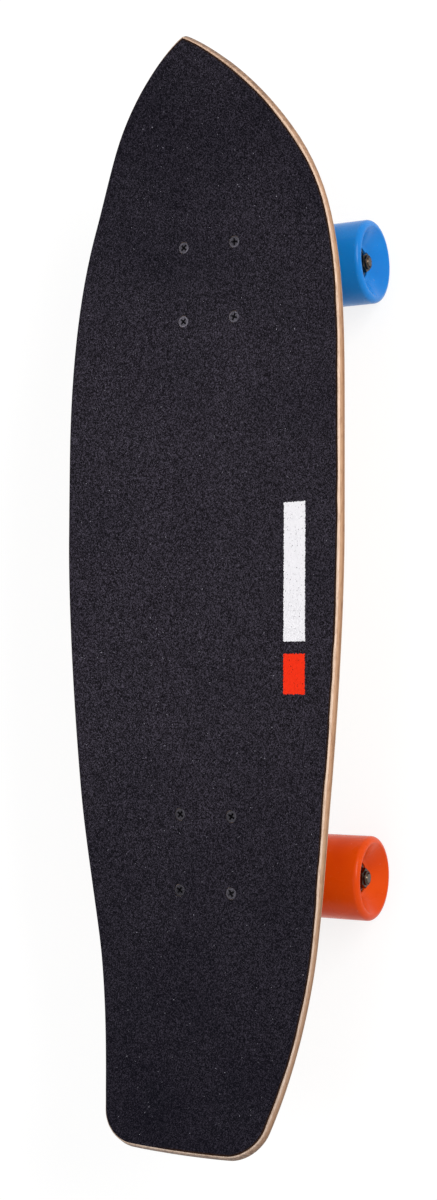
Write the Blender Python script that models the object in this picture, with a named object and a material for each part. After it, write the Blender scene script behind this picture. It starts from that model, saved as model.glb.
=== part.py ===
"""A cruiser skateboard: a laminated deck under grip tape, on two trucks with four urethane wheels.

Metres, +Z up. +X points to the nose, and +Y to the left of a rider who faces it. The origin is on the
floor, under the middle of the board's length and width. Each truck is modelled in its own frame: +X
points outboard to the end of the board, and the origin is the middle of the bolt pattern, on the
baseplate's mounting face.
"""

import math

import bmesh
import bpy
from mathutils import Euler, Matrix, Vector

# Driving dimensions of the deck. Distances along the deck start in the middle between the trucks.
deck_width = 0.2178
deck_thickness = 0.0090
widest_at = 0.0184
nose_reach = 0.3787
tail_reach = 0.4118
nose_fullness = 4.16
nose_bluntness = 1.146
side_taper = 0.0445
side_taper_power = 1.63
tail_pinch = 0.0070
tail_pinch_power = 8.0
tail_corner_radius = 0.0211
tail_bow = 0.0008
flat_strip_width = 0.056
concave_rise = 0.0138
concave_power = 1.3
concave_rise_at_ends = 0.0055
nose_concave_full_until = 0.083
nose_concave_settled_at = 0.279
tail_concave_full_until = 0.160
tail_concave_settled_at = 0.289
nose_bend_gap = 0.002
nose_bend_radius = 0.129
nose_bend_angle = math.radians(23.4)
tail_bend_gap = 0.018
tail_bend_radius = 0.276
top_edge_round = 0.0008
bottom_edge_round = 0.0030
grip_thickness = 0.0008
flat_column_share = 0.45
middle_column_share = 0.55

# The hole pattern in the deck, riser and baseplate, and the bolts through it
truck_spacing = 0.4096
hole_spacing_along = 0.053975
hole_spacing_across = 0.041275
bolt_radius = 0.0024
bolt_head_radius = 0.0046
bolt_head_lip = 0.0003
bolt_head_below_grip = 0.0005
bolt_tip_beyond_nut = 0.0015
recess_width = 0.0054
recess_slot = 0.0012
recess_depth = 0.0018
recess_taper = 0.9
lock_nut_across_flats = 0.0095
lock_nut_height = 0.0055
nut_shoulder_share = 0.72
nut_collar_share = 0.84

# Riser pad and baseplate
riser_thickness = 0.006
baseplate_length = 0.082
baseplate_width = 0.056
baseplate_thickness = 0.0055
baseplate_corner_radius = 0.009

# Truck geometry
truck_height = 0.0506
axle_outboard = 0.0182
kingpin_tilt = math.radians(27.0)
yoke_to_axle = 0.0353
pivot_outboard = 0.0285
pivot_below_mount = 0.013
pivot_stub_angle = math.radians(55.0)
pivot_stub_length = 0.024
pivot_stub_radius = 0.0051
pivot_stub_root_radius = 0.0070
pivot_stub_straight = 0.0084
pivot_end_rows = ((1.0, 0.0), (0.87, 0.5), (0.45, 0.89))
pivot_cup_wall = 0.0019
pivot_cup_mouth = 0.0045
pivot_cup_flare = 0.0008
cup_shoulder_share = 0.55
cup_top_share = 0.6
socket_wall = 0.0030
socket_foot_wall = 0.0021
boss_rim = 0.0012
boss_foot_flare = 0.0047
boss_foot_outboard = 0.0030
yoke_radius = 0.0165
yoke_thickness = 0.0090
yoke_hole_radius = 0.0080
yoke_rim = 0.0015
bushing_seat_depth = 0.0015
rib_width = 0.0050
web_thickness = 0.0064
wing_radius = 0.0059
gusset_foot_radius = 0.0066
gusset_foot_span = 0.028
buttress_inboard = 0.0127
hanger_width = 0.1295
hanger_end_radius = 0.0082
hanger_middle_radius = 0.0098
hanger_wing_span = 0.070

# Kingpin and what it clamps
kingpin_radius = 0.00475
kingpin_head_radius = 0.0078
kingpin_head_height = 0.0055
kingpin_head_below_mount = 0.0046
kingpin_nut_across_flats = 0.0143
kingpin_nut_height = 0.0080
kingpin_tip_beyond_nut = 0.0015
bushing_radius = 0.0118
bushing_bulge = 0.0005
board_bushing_height = 0.0140
road_bushing_height = 0.0105
road_bushing_small_radius = 0.0088
cup_washer_thickness = 0.0014
cup_washer_lip = 0.0012
cup_washer_wall = 0.0010

# Axle, bearings and wheels
axle_radius = 0.00385
axle_tip_beyond_nut = 0.0006
axle_nut_across_flats = 0.0127
axle_nut_height = 0.0062
speed_washer_radius = 0.0063
speed_washer_thickness = 0.0008
bearing_radius = 0.0110
bearing_width = 0.0070
bearing_shield_depth = 0.0006
bearing_race_width = 0.0016
spacer_length = 0.0100
spacer_radius = 0.0055
wheel_radius = 0.0305
wheel_width = 0.0480
wheel_edge_round = 0.0040
wheel_hub_bore_radius = 0.0085
wheel_seat_extra_depth = 0.0006

# Edges and clearances
edge_chamfer = 0.0007
cutter_overrun = 0.0020
seat_gap = 0.0002
running_gap = 0.0002
hole_clearance = 0.0003

# How finely round shapes are faceted and shaded
smooth_below = math.radians(35)
pad_corner_steps = 3
nose_rows = 15
body_rows = 18
corner_rows = 4
wheel_sides = 24
truck_sides = 14
bearing_sides = 14
nut_sides = 12
bolt_sides = 10
hidden_sides = 8

# Places that follow from the sizes above
yoke_drop = truck_height - yoke_to_axle * math.sin(kingpin_tilt)
yoke_centre = Vector((axle_outboard - yoke_to_axle * math.cos(kingpin_tilt), 0, -yoke_drop))
kingpin_up = Vector((math.sin(kingpin_tilt), 0, math.cos(kingpin_tilt)))
pivot_centre = Vector((pivot_outboard, 0, -pivot_below_mount))
stub_up = Vector((math.cos(pivot_stub_angle), 0, math.sin(pivot_stub_angle)))
straight_up = Vector((0, 0, 1))
across = Vector((0, 1, 0))
axle_centre = Vector((axle_outboard, 0, -truck_height))
pivot_cup_hollow = pivot_stub_radius + hole_clearance
pivot_cup_radius = pivot_cup_hollow + pivot_cup_wall
bushing_seat = yoke_thickness / 2 - bushing_seat_depth + seat_gap
board_washer_at = bushing_seat + board_bushing_height + seat_gap
baseplate_seat_at = board_washer_at + cup_washer_thickness + seat_gap
road_washer_at = bushing_seat + road_bushing_height + seat_gap
kingpin_nut_at = road_washer_at + cup_washer_thickness + seat_gap
kingpin_tip_at = kingpin_nut_at + kingpin_nut_height + kingpin_tip_beyond_nut
kingpin_head_top = (yoke_drop - kingpin_head_below_mount) / math.cos(kingpin_tilt)
hanger_end = hanger_width / 2
inner_bearing_at = hanger_end + speed_washer_thickness + running_gap
outer_bearing_at = inner_bearing_at + bearing_width + spacer_length
axle_nut_at = outer_bearing_at + bearing_width + running_gap
axle_end = axle_nut_at + speed_washer_thickness + axle_nut_height + axle_tip_beyond_nut
wheel_middle = (inner_bearing_at + bearing_width + outer_bearing_at) / 2
truck_below_deck_top = deck_thickness + riser_thickness + 2 * seat_gap
floor_below_axle = wheel_radius * math.cos(math.pi / wheel_sides)
deck_top_height = truck_below_deck_top + truck_height + floor_below_axle
truck_end = truck_spacing / 2 + baseplate_length / 2
nose_bend_start = truck_end + nose_bend_gap
tail_bend_start = truck_end + tail_bend_gap
bolt_places = [
    (along_side * hole_spacing_along / 2, across_side * hole_spacing_across / 2)
    for along_side in (1, -1)
    for across_side in (1, -1)
]


# Scene helpers

def clear_scene():
    for old in list(bpy.data.objects):
        bpy.data.objects.remove(old, do_unlink=True)


def material(name, colour, roughness, metallic=0.0):
    made = bpy.data.materials.new(name)
    made.use_nodes = True
    shader = made.node_tree.nodes["Principled BSDF"]
    shader.inputs["Base Color"].default_value = (*colour, 1.0)
    shader.inputs["Roughness"].default_value = roughness
    shader.inputs["Metallic"].default_value = metallic
    made.diffuse_color = (*colour, 1.0)
    return made


def empty(name, location, parent=None, rotation=(0, 0, 0)):
    made = bpy.data.objects.new(name, None)
    made.location = location
    made.rotation_euler = rotation
    made.parent = parent
    bpy.context.scene.collection.objects.link(made)
    return made


def piece(name, mesh, finish, parent, location=(0, 0, 0), rotation=(0, 0, 0)):
    """One sub-part. The mesh is in the piece's own frame, and pieces that are alike share it."""
    if not mesh.materials:
        mesh.materials.append(finish)
        mesh.shade_smooth()
        mesh.set_sharp_from_angle(angle=smooth_below)
    made = bpy.data.objects.new(name, mesh)
    made.location = location
    made.rotation_euler = rotation
    made.parent = parent
    bpy.context.scene.collection.objects.link(made)
    return made


# Mesh helpers

def finished(name, shape):
    """The bmesh as a mesh whose faces point outwards."""
    bmesh.ops.recalc_face_normals(shape, faces=shape.faces)
    mesh = bpy.data.meshes.new(name)
    shape.to_mesh(mesh)
    shape.free()
    return mesh


def moved(mesh, matrix):
    mesh.transform(matrix)
    return mesh


def towards(direction):
    """The rotation that turns +Z to a direction."""
    return straight_up.rotation_difference(direction).to_matrix().to_4x4()


def circle(radius, sides, angle_from=0.0):
    """Points on a circle whose first flat is centred half a step past angle_from."""
    step = 2 * math.pi / sides
    return [
        (radius * math.cos(angle_from + (k + 0.5) * step), radius * math.sin(angle_from + (k + 0.5) * step))
        for k in range(sides)
    ]


def bore(radius, sides):
    """The radius to the corners of a faceted hole that clears a round pin of the given radius."""
    return radius / math.cos(math.pi / sides)


def hexagon(across_flats, sides):
    """A hexagon with as many points as a circle of that many sides, a multiple of six."""
    points = []
    for x, y in circle(1.0, sides, -math.pi / sides):
        turn = math.atan2(y, x) % (math.pi / 3) - math.pi / 6
        reach = across_flats / 2 / math.cos(turn)
        points.append((x * reach, y * reach))
    return points


def rings(name, sections, closed):
    """A skin over sections, each a height and its points, about Z. An open skin ends in flat faces."""
    shape = bmesh.new()
    loops = [[shape.verts.new((x, y, height)) for x, y in points] for height, points in sections]
    count = len(loops[0])
    pairs = list(zip(loops, loops[1:]))
    if closed:
        pairs.append((loops[-1], loops[0]))
    else:
        shape.faces.new(loops[0])
        shape.faces.new(loops[-1])
    for one, other in pairs:
        for k in range(count):
            after = (k + 1) % count
            shape.faces.new((one[k], one[after], other[after], other[k]))
    return finished(name, shape)


def turned(name, profile, sides, closed=True):
    """A shape turned about Z from (radius, height) points: a ring if closed, or else with flat ends."""
    sections = [(height, circle(radius, sides, -math.pi / 2)) for radius, height in profile]
    return rings(name, sections, closed)


def along_y(mesh, outward=1):
    """Turns a mesh made about Z to lie about Y, with its top on the outward side and a flat facing down."""
    return moved(mesh, Matrix(((1, 0, 0, 0), (0, 0, outward, 0), (0, -outward, 0, 0), (0, 0, 0, 1))))


def hull(name, points):
    """The convex body round some points, which is how a casting blends between its bosses."""
    shape = bmesh.new()
    for point in points:
        shape.verts.new(point)
    made = bmesh.ops.convex_hull(shape, input=shape.verts)
    unused = {item for key in ("geom_interior", "geom_unused") for item in made[key]}
    loose = [item for item in unused if isinstance(item, bmesh.types.BMVert)]
    bmesh.ops.delete(shape, geom=loose, context="VERTS")
    flat = math.radians(0.5)
    bmesh.ops.dissolve_limit(shape, angle_limit=flat, verts=shape.verts, edges=shape.edges)
    return finished(name, shape)


def disc(centre, direction, radius, sides):
    """Points of a circle round a centre, square to a direction."""
    turn = towards(direction)
    return [centre + turn @ Vector((x, y, 0)) for x, y in circle(radius, sides)]


def combined(first, second, operation):
    """The Boolean of two meshes that share a frame."""
    objects = [bpy.data.objects.new("shape", mesh) for mesh in (first, second)]
    for each in objects:
        bpy.context.scene.collection.objects.link(each)
    step = objects[0].modifiers.new("step", "BOOLEAN")
    step.operation = operation
    step.object = objects[1]
    graph = bpy.context.evaluated_depsgraph_get()
    mesh = bpy.data.meshes.new_from_object(objects[0].evaluated_get(graph))
    for each in objects:
        bpy.data.objects.remove(each)
    return mesh


def joined(*meshes):
    mesh = meshes[0]
    for other in meshes[1:]:
        mesh = combined(mesh, other, "UNION")
    return mesh


def cut(mesh, *cutters):
    for cutter in cutters:
        mesh = combined(mesh, cutter, "DIFFERENCE")
    return mesh


def pad_plate(name, lowest, highest, margin=0.0):
    """A flat plate with the baseplate's outline, or one larger by a margin."""
    points = []
    for quarter in range(4):
        side_x = 1 if quarter in (0, 3) else -1
        side_y = 1 if quarter in (0, 1) else -1
        corner_x = side_x * (baseplate_length / 2 + margin - baseplate_corner_radius)
        corner_y = side_y * (baseplate_width / 2 + margin - baseplate_corner_radius)
        for k in range(pad_corner_steps + 1):
            angle = (quarter + k / pad_corner_steps) * math.pi / 2
            x = corner_x + baseplate_corner_radius * math.cos(angle)
            y = corner_y + baseplate_corner_radius * math.sin(angle)
            points.append((x, y))
    return rings(name, [(lowest, points), (highest, points)], closed=False)


def bolt_holes(lowest, highest, radius, sides, shift=0.0):
    """Cutters for one truck's four bolts."""
    cutters = []
    profile = [(bore(radius, sides), lowest), (bore(radius, sides), highest)]
    for x, y in bolt_places:
        cutter = turned("hole", profile, sides, closed=False)
        cutters.append(moved(cutter, Matrix.Translation((x + shift, y, 0))))
    return cutters


# The deck's form: a flat outline, pressed to a bent and hollowed surface

def half_width(s):
    """Half the deck's width at the distance s ahead of the middle between the trucks."""
    if s >= widest_at:
        u = (s - widest_at) / (nose_reach - widest_at)
        return deck_width / 2 * max(0.0, 1 - u**nose_fullness) ** (1 / nose_bluntness)
    u = (widest_at - s) / (widest_at + tail_reach)
    return deck_width / 2 - side_taper * u**side_taper_power - tail_pinch * u**tail_pinch_power


def side_outline():
    """The left side's (s, v) points, from the nose tip to the end of the tail's corner."""
    points = []
    for k in range(nose_rows):
        s = widest_at + (nose_reach - widest_at) * math.sin(math.pi / 2 * (1 - k / nose_rows))
        points.append((s, half_width(s)))
    corner_start = tail_corner_radius - tail_reach
    for k in range(body_rows + 1):
        s = widest_at + (corner_start - widest_at) * k / body_rows
        points.append((s, half_width(s)))
    edge = half_width(corner_start)
    slope = (half_width(corner_start + 0.001) - edge) / 0.001
    for k in range(1, corner_rows + 1):
        turn = math.pi / 2 * k / corner_rows
        back = tail_corner_radius * math.sin(turn)
        v = edge - slope * back - tail_corner_radius * (1 - math.cos(turn))
        points.append((corner_start - back, v))
    return points


def inset_outline(inset):
    """The side outline drawn in square to itself."""
    outline = side_outline()
    tip_mirror = (outline[1][0], -outline[1][1])
    tail_next = (outline[-1][0] - tail_bow / 2, outline[-1][1] / 2)
    padded = [tip_mirror, *outline, tail_next]
    points = []
    for before, (s, v), after in zip(padded, outline, padded[2:]):
        along = Vector((after[0] - before[0], after[1] - before[1])).normalized()
        points.append((s - inset * along.y, v + inset * along.x))
    return points


def face_rows(inset):
    """Rows of (s, v) across the face, from the nose tip, which is one point, to the bowed end of the tail."""
    outline = inset_outline(inset)
    rows = [[(outline[0][0], 0.0)]]
    for s, edge in outline[1:]:
        flat = min(flat_strip_width / 2, flat_column_share * edge)
        middle = flat + middle_column_share * (edge - flat)
        rows.append([(s, v) for v in (-edge, -middle, -flat, 0.0, flat, middle, edge)])
    tail_edge = outline[-1][1]
    rows[-1] = [(s - tail_bow * (1 - (v / tail_edge) ** 2), v) for s, v in rows[-1]]
    return rows


def border(rows):
    """The loop of points round a face, from the nose tip along the left side, the tail and the right side."""
    left = [row[-1] for row in rows[1:]]
    right = [row[0] for row in rows[1:]]
    return [rows[0][0], *left, *reversed(rows[-1][1:-1]), *reversed(right)]


def centre_line(s):
    """x, z and slope of the centre line at a distance s along it.

    The nose bends and runs on straight, and the tail is one arc to its end.
    """
    ahead = s > 0
    start = nose_bend_start if ahead else tail_bend_start
    radius = nose_bend_radius if ahead else tail_bend_radius
    longest_arc = nose_bend_radius * nose_bend_angle if ahead else tail_reach
    beyond = abs(s) - start
    if beyond <= 0:
        return s, 0.0, 0.0
    arc = min(beyond, longest_arc)
    turn = arc / radius
    x = start + radius * math.sin(turn) + (beyond - arc) * math.cos(turn)
    z = radius * (1 - math.cos(turn)) + (beyond - arc) * math.sin(turn)
    return (x, z, turn) if ahead else (-x, z, -turn)


def concave(s, v):
    """How far the top face rises above the centre line at (s, v), and its slope across the board."""
    full_until = nose_concave_full_until if s > 0 else tail_concave_full_until
    settled_at = nose_concave_settled_at if s > 0 else tail_concave_settled_at
    fade = min(1.0, max(0.0, (abs(s) - full_until) / (settled_at - full_until)))
    fade = fade * fade * (3 - 2 * fade)
    depth = concave_rise * (1 - fade) + concave_rise_at_ends * fade
    reach = (deck_width - flat_strip_width) / 2
    over = max(0.0, abs(v) - flat_strip_width / 2) / reach
    rise = depth * over**concave_power
    slope = depth * concave_power * over ** (concave_power - 1) / reach
    return rise, math.copysign(math.atan(slope), v)


def on_deck(s, v, depth):
    """The point at (s, v) on the deck, a depth below its top face."""
    x, z, turn = centre_line(s)
    rise, lean = concave(s, v)
    up = rise - depth * math.cos(lean)
    return Vector((x - math.sin(turn) * up, v + depth * math.sin(lean), z + math.cos(turn) * up))


def pressed_sheet(name, layers):
    """A closed sheet with the deck's form. Its (inset, depth) layers go from the top face round the edge."""
    shape = bmesh.new()
    loops = []
    for number, (inset, depth) in enumerate(layers):
        rows = face_rows(inset)
        found = {}
        if number in (0, len(layers) - 1):
            grid = [[shape.verts.new(on_deck(s, v, depth)) for s, v in row] for row in rows]
            found = {
                place: vertex
                for row, made in zip(rows, grid)
                for place, vertex in zip(row, made)
            }
            tip = grid[0][0]
            for one, other in zip(grid[1], grid[1][1:]):
                shape.faces.new((tip, one, other))
            for near, far in zip(grid[1:], grid[2:]):
                for k in range(len(near) - 1):
                    shape.faces.new((near[k], near[k + 1], far[k + 1], far[k]))
        loop = [found.get(place) or shape.verts.new(on_deck(*place, depth)) for place in border(rows)]
        loops.append(loop)
    for one, other in zip(loops, loops[1:]):
        for k in range(len(one)):
            after = (k + 1) % len(one)
            shape.faces.new((one[k], one[after], other[after], other[k]))
    return finished(name, shape)


# The board above the trucks

bolt_top = seat_gap + grip_thickness - bolt_head_below_grip
bolt_head_depth = bolt_head_lip + bolt_head_radius - bolt_radius


def deck_mesh():
    shank = bore(bolt_radius + hole_clearance, bolt_sides)
    head = bore(bolt_head_radius + hole_clearance, bolt_sides)
    profile = [
        (shank, -deck_thickness - cutter_overrun),
        (shank, bolt_top - bolt_head_depth - hole_clearance),
        (head, bolt_top - bolt_head_lip),
        (head, bolt_top + cutter_overrun),
    ]
    layers = [
        (top_edge_round, 0.0),
        (0.0, top_edge_round),
        (0.0, deck_thickness - bottom_edge_round),
        (bottom_edge_round, deck_thickness),
    ]
    mesh = pressed_sheet("deck", layers)
    for end in (1, -1):
        for x, y in bolt_places:
            cutter = turned("countersink", profile, bolt_sides, closed=False)
            moved(cutter, Matrix.Translation((end * (truck_spacing / 2 + x), y, 0)))
            mesh = cut(mesh, cutter)
    return mesh


def grip_mesh():
    layers = [(top_edge_round, -seat_gap - grip_thickness), (top_edge_round, -seat_gap)]
    mesh = pressed_sheet("grip", layers)
    for end in (1, -1):
        radius = bolt_head_radius + hole_clearance
        shift = end * truck_spacing / 2
        mesh = cut(mesh, *bolt_holes(0.0, grip_thickness + cutter_overrun, radius, bolt_sides, shift))
    return mesh


def bolt_mesh():
    """A countersunk bolt with its head's face at z = 0. The arms of its cross recess taper to a point."""
    nut_end = truck_below_deck_top + baseplate_thickness + seat_gap + lock_nut_height
    length = bolt_top + nut_end + bolt_tip_beyond_nut
    profile = [
        (bolt_head_radius, 0.0),
        (bolt_head_radius, -bolt_head_lip),
        (bolt_radius, -bolt_head_depth),
        (bolt_radius, -length),
    ]
    mesh = turned("bolt", profile, bolt_sides, closed=False)
    outer, inner = recess_width / 2, recess_slot / 2
    corners = [(outer, inner), (inner, inner), (inner, outer)]
    cross = []
    for quarter in range(4):
        turn = Matrix.Rotation(quarter * math.pi / 2, 2)
        cross += [turn @ Vector(corner) for corner in corners]
    sections = []
    for side in (-1, 1):
        size = 1 + side * recess_taper
        sections.append((side * recess_depth, [size * point for point in cross]))
    return cut(mesh, rings("recess", sections, closed=False))


def nut_mesh(across_flats, height, hole_radius, washer=None):
    """A hexagon lock nut about Z, standing on z = 0, on a washer (radius, thickness) if one is given."""
    sides = nut_sides
    hole = circle(bore(hole_radius, sides), sides, -math.pi / sides)
    outline = hexagon(across_flats, sides)
    collar = circle(nut_collar_share * across_flats / 2, sides, -math.pi / sides)
    foot = 0.0
    sections = []
    if washer:
        washer_radius, foot = washer
        rim = circle(washer_radius, sides, -math.pi / sides)
        sections = [(0.0, rim), (foot, rim)]
    shoulder = foot + nut_shoulder_share * height
    sections += [(foot, outline), (shoulder, outline), (foot + height, collar)]
    sections += [(foot + height, hole), (0.0, hole)]
    return rings("nut", sections, closed=True)


def riser_mesh():
    plate = pad_plate("riser", seat_gap, seat_gap + riser_thickness)
    radius = bolt_radius + hole_clearance
    return cut(plate, *bolt_holes(0.0, riser_thickness + cutter_overrun, radius, hidden_sides))


# The truck

def baseplate_mesh():
    """The cast plate, with a slanted boss for the kingpin, a socket for the pivot cup and a rib."""
    plate = pad_plate("plate", -baseplate_thickness, 0.0)
    inside_plate = -baseplate_thickness / 2
    seat = yoke_centre + baseplate_seat_at * kingpin_up
    boss_foot = Vector((seat.x + boss_foot_outboard, 0, inside_plate))
    boss_points = disc(seat, kingpin_up, bushing_radius + boss_rim, truck_sides)
    boss_points += disc(boss_foot, straight_up, bushing_radius + boss_foot_flare, truck_sides)
    kingpin_boss = hull("kingpin_boss", boss_points)
    socket_radius = pivot_cup_radius + seat_gap
    mouth = pivot_centre - (pivot_cup_mouth - edge_chamfer) * stub_up
    socket_foot = Vector((pivot_outboard, 0, inside_plate))
    socket_points = disc(mouth, stub_up, socket_radius + socket_wall, truck_sides)
    socket_points += disc(pivot_centre, stub_up, socket_radius + socket_wall, truck_sides)
    socket_points += disc(socket_foot, straight_up, socket_radius + socket_foot_wall, truck_sides)
    socket_boss = hull("socket_boss", socket_points)
    rib_points = []
    for y in (-rib_width / 2, rib_width / 2):
        for place in (seat, mouth):
            rib_points += [Vector((place.x, y, inside_plate)), Vector((place.x, y, place.z))]
    rib = hull("rib", rib_points)
    body = joined(plate, kingpin_boss, socket_boss, rib)
    to_kingpin = Matrix.Translation(yoke_centre) @ towards(kingpin_up)
    far_up = 2 * kingpin_head_top
    shank = bore(kingpin_radius + seat_gap, truck_sides)
    head = bore(kingpin_head_radius + hole_clearance, truck_sides)
    recess_floor = kingpin_head_top - kingpin_head_height - seat_gap
    kingpin_profile = [(shank, 0.0), (shank, recess_floor), (head, recess_floor), (head, far_up)]
    kingpin_hole = turned("kingpin_hole", kingpin_profile, truck_sides, closed=False)
    to_socket = Matrix.Translation(pivot_centre) @ towards(stub_up)
    hollow = bore(socket_radius, truck_sides)
    shoulder = cup_shoulder_share * pivot_cup_radius
    socket_profile = [(hollow, -pivot_stub_length), (hollow, shoulder)]
    socket_profile += [(cup_top_share * hollow, pivot_cup_radius + seat_gap)]
    socket = turned("socket", socket_profile, truck_sides, closed=False)
    above = pad_plate("above", 0.0, far_up, margin=baseplate_width)
    below = -baseplate_thickness - cutter_overrun
    holes = bolt_holes(below, cutter_overrun, bolt_radius + hole_clearance, hidden_sides)
    return cut(body, above, moved(kingpin_hole, to_kingpin), moved(socket, to_socket), *holes)


def pivot_cup_mesh():
    """The cup about Z, with the pivot's centre at z = 0 and its mouth below."""
    outer = pivot_cup_radius
    inner = bore(pivot_cup_hollow, nut_sides)
    profile = [(width * inner, height * inner) for width, height in reversed(pivot_end_rows)]
    profile += [(inner + pivot_cup_flare, -pivot_cup_mouth), (outer, -pivot_cup_mouth)]
    profile += [(outer, cup_shoulder_share * outer), (cup_top_share * outer, outer)]
    return turned("cup", profile, nut_sides, closed=False)


def kingpin_mesh():
    """The kingpin about Z, with the yoke's centre at z = 0."""
    head_bottom = kingpin_head_top - kingpin_head_height
    profile = [
        (kingpin_head_radius - edge_chamfer, kingpin_head_top),
        (kingpin_head_radius, kingpin_head_top - edge_chamfer),
        (kingpin_head_radius, head_bottom),
        (kingpin_radius, head_bottom),
        (kingpin_radius, edge_chamfer - kingpin_tip_at),
        (kingpin_radius - edge_chamfer, -kingpin_tip_at),
    ]
    return turned("kingpin", profile, truck_sides, closed=False)


def bushing_mesh(height, far_radius):
    """A bushing about Z that stands on z = 0. It bulges, and narrows to its far radius."""
    hole = bore(kingpin_radius + hole_clearance, truck_sides)
    middle = (bushing_radius + far_radius) / 2 + bushing_bulge
    profile = [
        (hole, height),
        (far_radius - edge_chamfer, height),
        (middle, height / 2),
        (bushing_radius, edge_chamfer),
        (bushing_radius - edge_chamfer, 0.0),
        (hole, 0.0),
    ]
    return turned("bushing", profile, truck_sides)


def cup_washer_mesh(radius):
    """A cupped washer about Z, whose base stands on z = 0 and whose lip reaches down round the bushing."""
    hole = bore(kingpin_radius + hole_clearance, truck_sides)
    inner = bore(radius + hole_clearance, truck_sides)
    outer = inner + cup_washer_wall
    profile = [
        (hole, cup_washer_thickness),
        (outer - cup_washer_wall / 2, cup_washer_thickness),
        (outer, -cup_washer_lip),
        (inner, -cup_washer_lip),
        (inner, 0.0),
        (hole, 0.0),
    ]
    return turned("cup_washer", profile, truck_sides)


def hanger_mesh():
    """The cast hanger in the truck's frame: axle bar, yoke round the kingpin, wings and pivot stub."""
    bar_stations = (
        (hanger_end + speed_washer_thickness, speed_washer_radius),
        (hanger_end, speed_washer_radius),
        (hanger_end, hanger_end_radius),
        (hanger_wing_span / 2, (hanger_end_radius + hanger_middle_radius) / 2),
    )
    profile = [(radius, y) for y, radius in bar_stations]
    profile += [(hanger_middle_radius, 0.0)]
    profile += [(radius, -y) for y, radius in reversed(bar_stations)]
    at_axle = Matrix.Translation(axle_centre)
    bar = moved(along_y(turned("bar", profile, truck_sides, closed=False)), at_axle)
    yoke_profile = [(yoke_radius, -yoke_thickness / 2), (yoke_radius, yoke_thickness / 2)]
    at_yoke = Matrix.Translation(yoke_centre) @ towards(kingpin_up)
    yoke = moved(turned("yoke", yoke_profile, truck_sides, closed=False), at_yoke)
    web_points = []
    for side in (1, -1):
        web_face = yoke_centre + side * web_thickness / 2 * kingpin_up
        web_points += disc(web_face, kingpin_up, yoke_radius - yoke_rim, truck_sides)
        wing_tip = axle_centre + side * hanger_wing_span / 2 * across
        web_points += disc(wing_tip, across, wing_radius, truck_sides)
    web = hull("web", web_points)
    stub_root = pivot_centre - pivot_stub_length * stub_up
    gusset_points = disc(stub_root, stub_up, pivot_stub_root_radius, truck_sides)
    to_yoke = (yoke_centre - axle_centre).normalized()
    buttress = axle_centre + buttress_inboard * to_yoke + web_thickness / 2 * kingpin_up
    gusset_points += disc(buttress, kingpin_up, rib_width, hidden_sides)
    for side in (1, -1):
        gusset_foot = axle_centre + side * gusset_foot_span / 2 * across
        gusset_points += disc(gusset_foot, across, gusset_foot_radius, nut_sides)
    gusset = hull("gusset", gusset_points)
    ball = pivot_stub_radius
    stub_profile = [(pivot_stub_root_radius, -pivot_stub_length - edge_chamfer)]
    stub_profile += [(ball, -pivot_stub_straight)]
    stub_profile += [(width * ball, height * ball) for width, height in pivot_end_rows]
    at_pivot = Matrix.Translation(pivot_centre) @ towards(stub_up)
    stub = moved(turned("stub", stub_profile, truck_sides, closed=False), at_pivot)
    body = joined(bar, web, yoke, gusset, stub)
    seat_radius = bore(bushing_radius + hole_clearance, truck_sides)
    seat_floor = yoke_thickness / 2 - bushing_seat_depth
    half_hole = [(seat_radius, yoke_thickness), (seat_radius, seat_floor), (yoke_hole_radius, seat_floor)]
    hole_profile = half_hole + [(radius, -height) for radius, height in reversed(half_hole)]
    yoke_hole = moved(turned("hole", hole_profile, truck_sides, closed=False), at_yoke)
    axle_hole_radius = bore(axle_radius + seat_gap, nut_sides)
    axle_hole_profile = [(axle_hole_radius, -hanger_width), (axle_hole_radius, hanger_width)]
    axle_hole = moved(along_y(turned("axle_hole", axle_hole_profile, nut_sides, closed=False)), at_axle)
    return cut(body, yoke_hole, axle_hole)


def axle_mesh():
    profile = [
        (axle_radius - edge_chamfer, -axle_end),
        (axle_radius, edge_chamfer - axle_end),
        (axle_radius, axle_end - edge_chamfer),
        (axle_radius - edge_chamfer, axle_end),
    ]
    return along_y(turned("axle", profile, nut_sides, closed=False))


def wheel_mesh():
    """A wheel about Y, alike on both faces: a rounded lip, a conical dish and a seat for a bearing."""
    seat_radius = bore(bearing_radius + seat_gap, wheel_sides)
    seat_floor = spacer_length / 2
    seat_mouth = seat_floor + bearing_width + wheel_seat_extra_depth
    face = wheel_width / 2
    rounded_in = (1 - math.sqrt(0.5)) * wheel_edge_round
    half = [
        (wheel_radius, face - wheel_edge_round),
        (wheel_radius - rounded_in, face - rounded_in),
        (wheel_radius - wheel_edge_round, face),
        (seat_radius, seat_mouth),
        (seat_radius, seat_floor - running_gap),
        (wheel_hub_bore_radius, seat_floor - running_gap),
    ]
    profile = half + [(radius, -height) for radius, height in reversed(half)]
    return along_y(turned("wheel", profile, wheel_sides))


def bearing_mesh(outward):
    """A shielded ball bearing about Y, with its sunk shield on the outward face."""
    face = bearing_width / 2
    hole = bore(axle_radius + seat_gap, bearing_sides)
    inner_race = hole + bearing_race_width
    outer_race = bearing_radius - bearing_race_width
    profile = [
        (bearing_radius, -face),
        (bearing_radius, face),
        (outer_race, face),
        (inner_race, face - bearing_shield_depth),
        (inner_race, face),
        (hole, face),
        (hole, -face),
    ]
    return along_y(turned("bearing", profile, bearing_sides), outward)


def spacer_mesh():
    half = spacer_length / 2 - running_gap
    hole = bore(axle_radius + seat_gap, hidden_sides)
    profile = [(spacer_radius, -half), (spacer_radius, half), (hole, half), (hole, -half)]
    return along_y(turned("spacer", profile, hidden_sides))


# Assembly

clear_scene()

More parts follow.
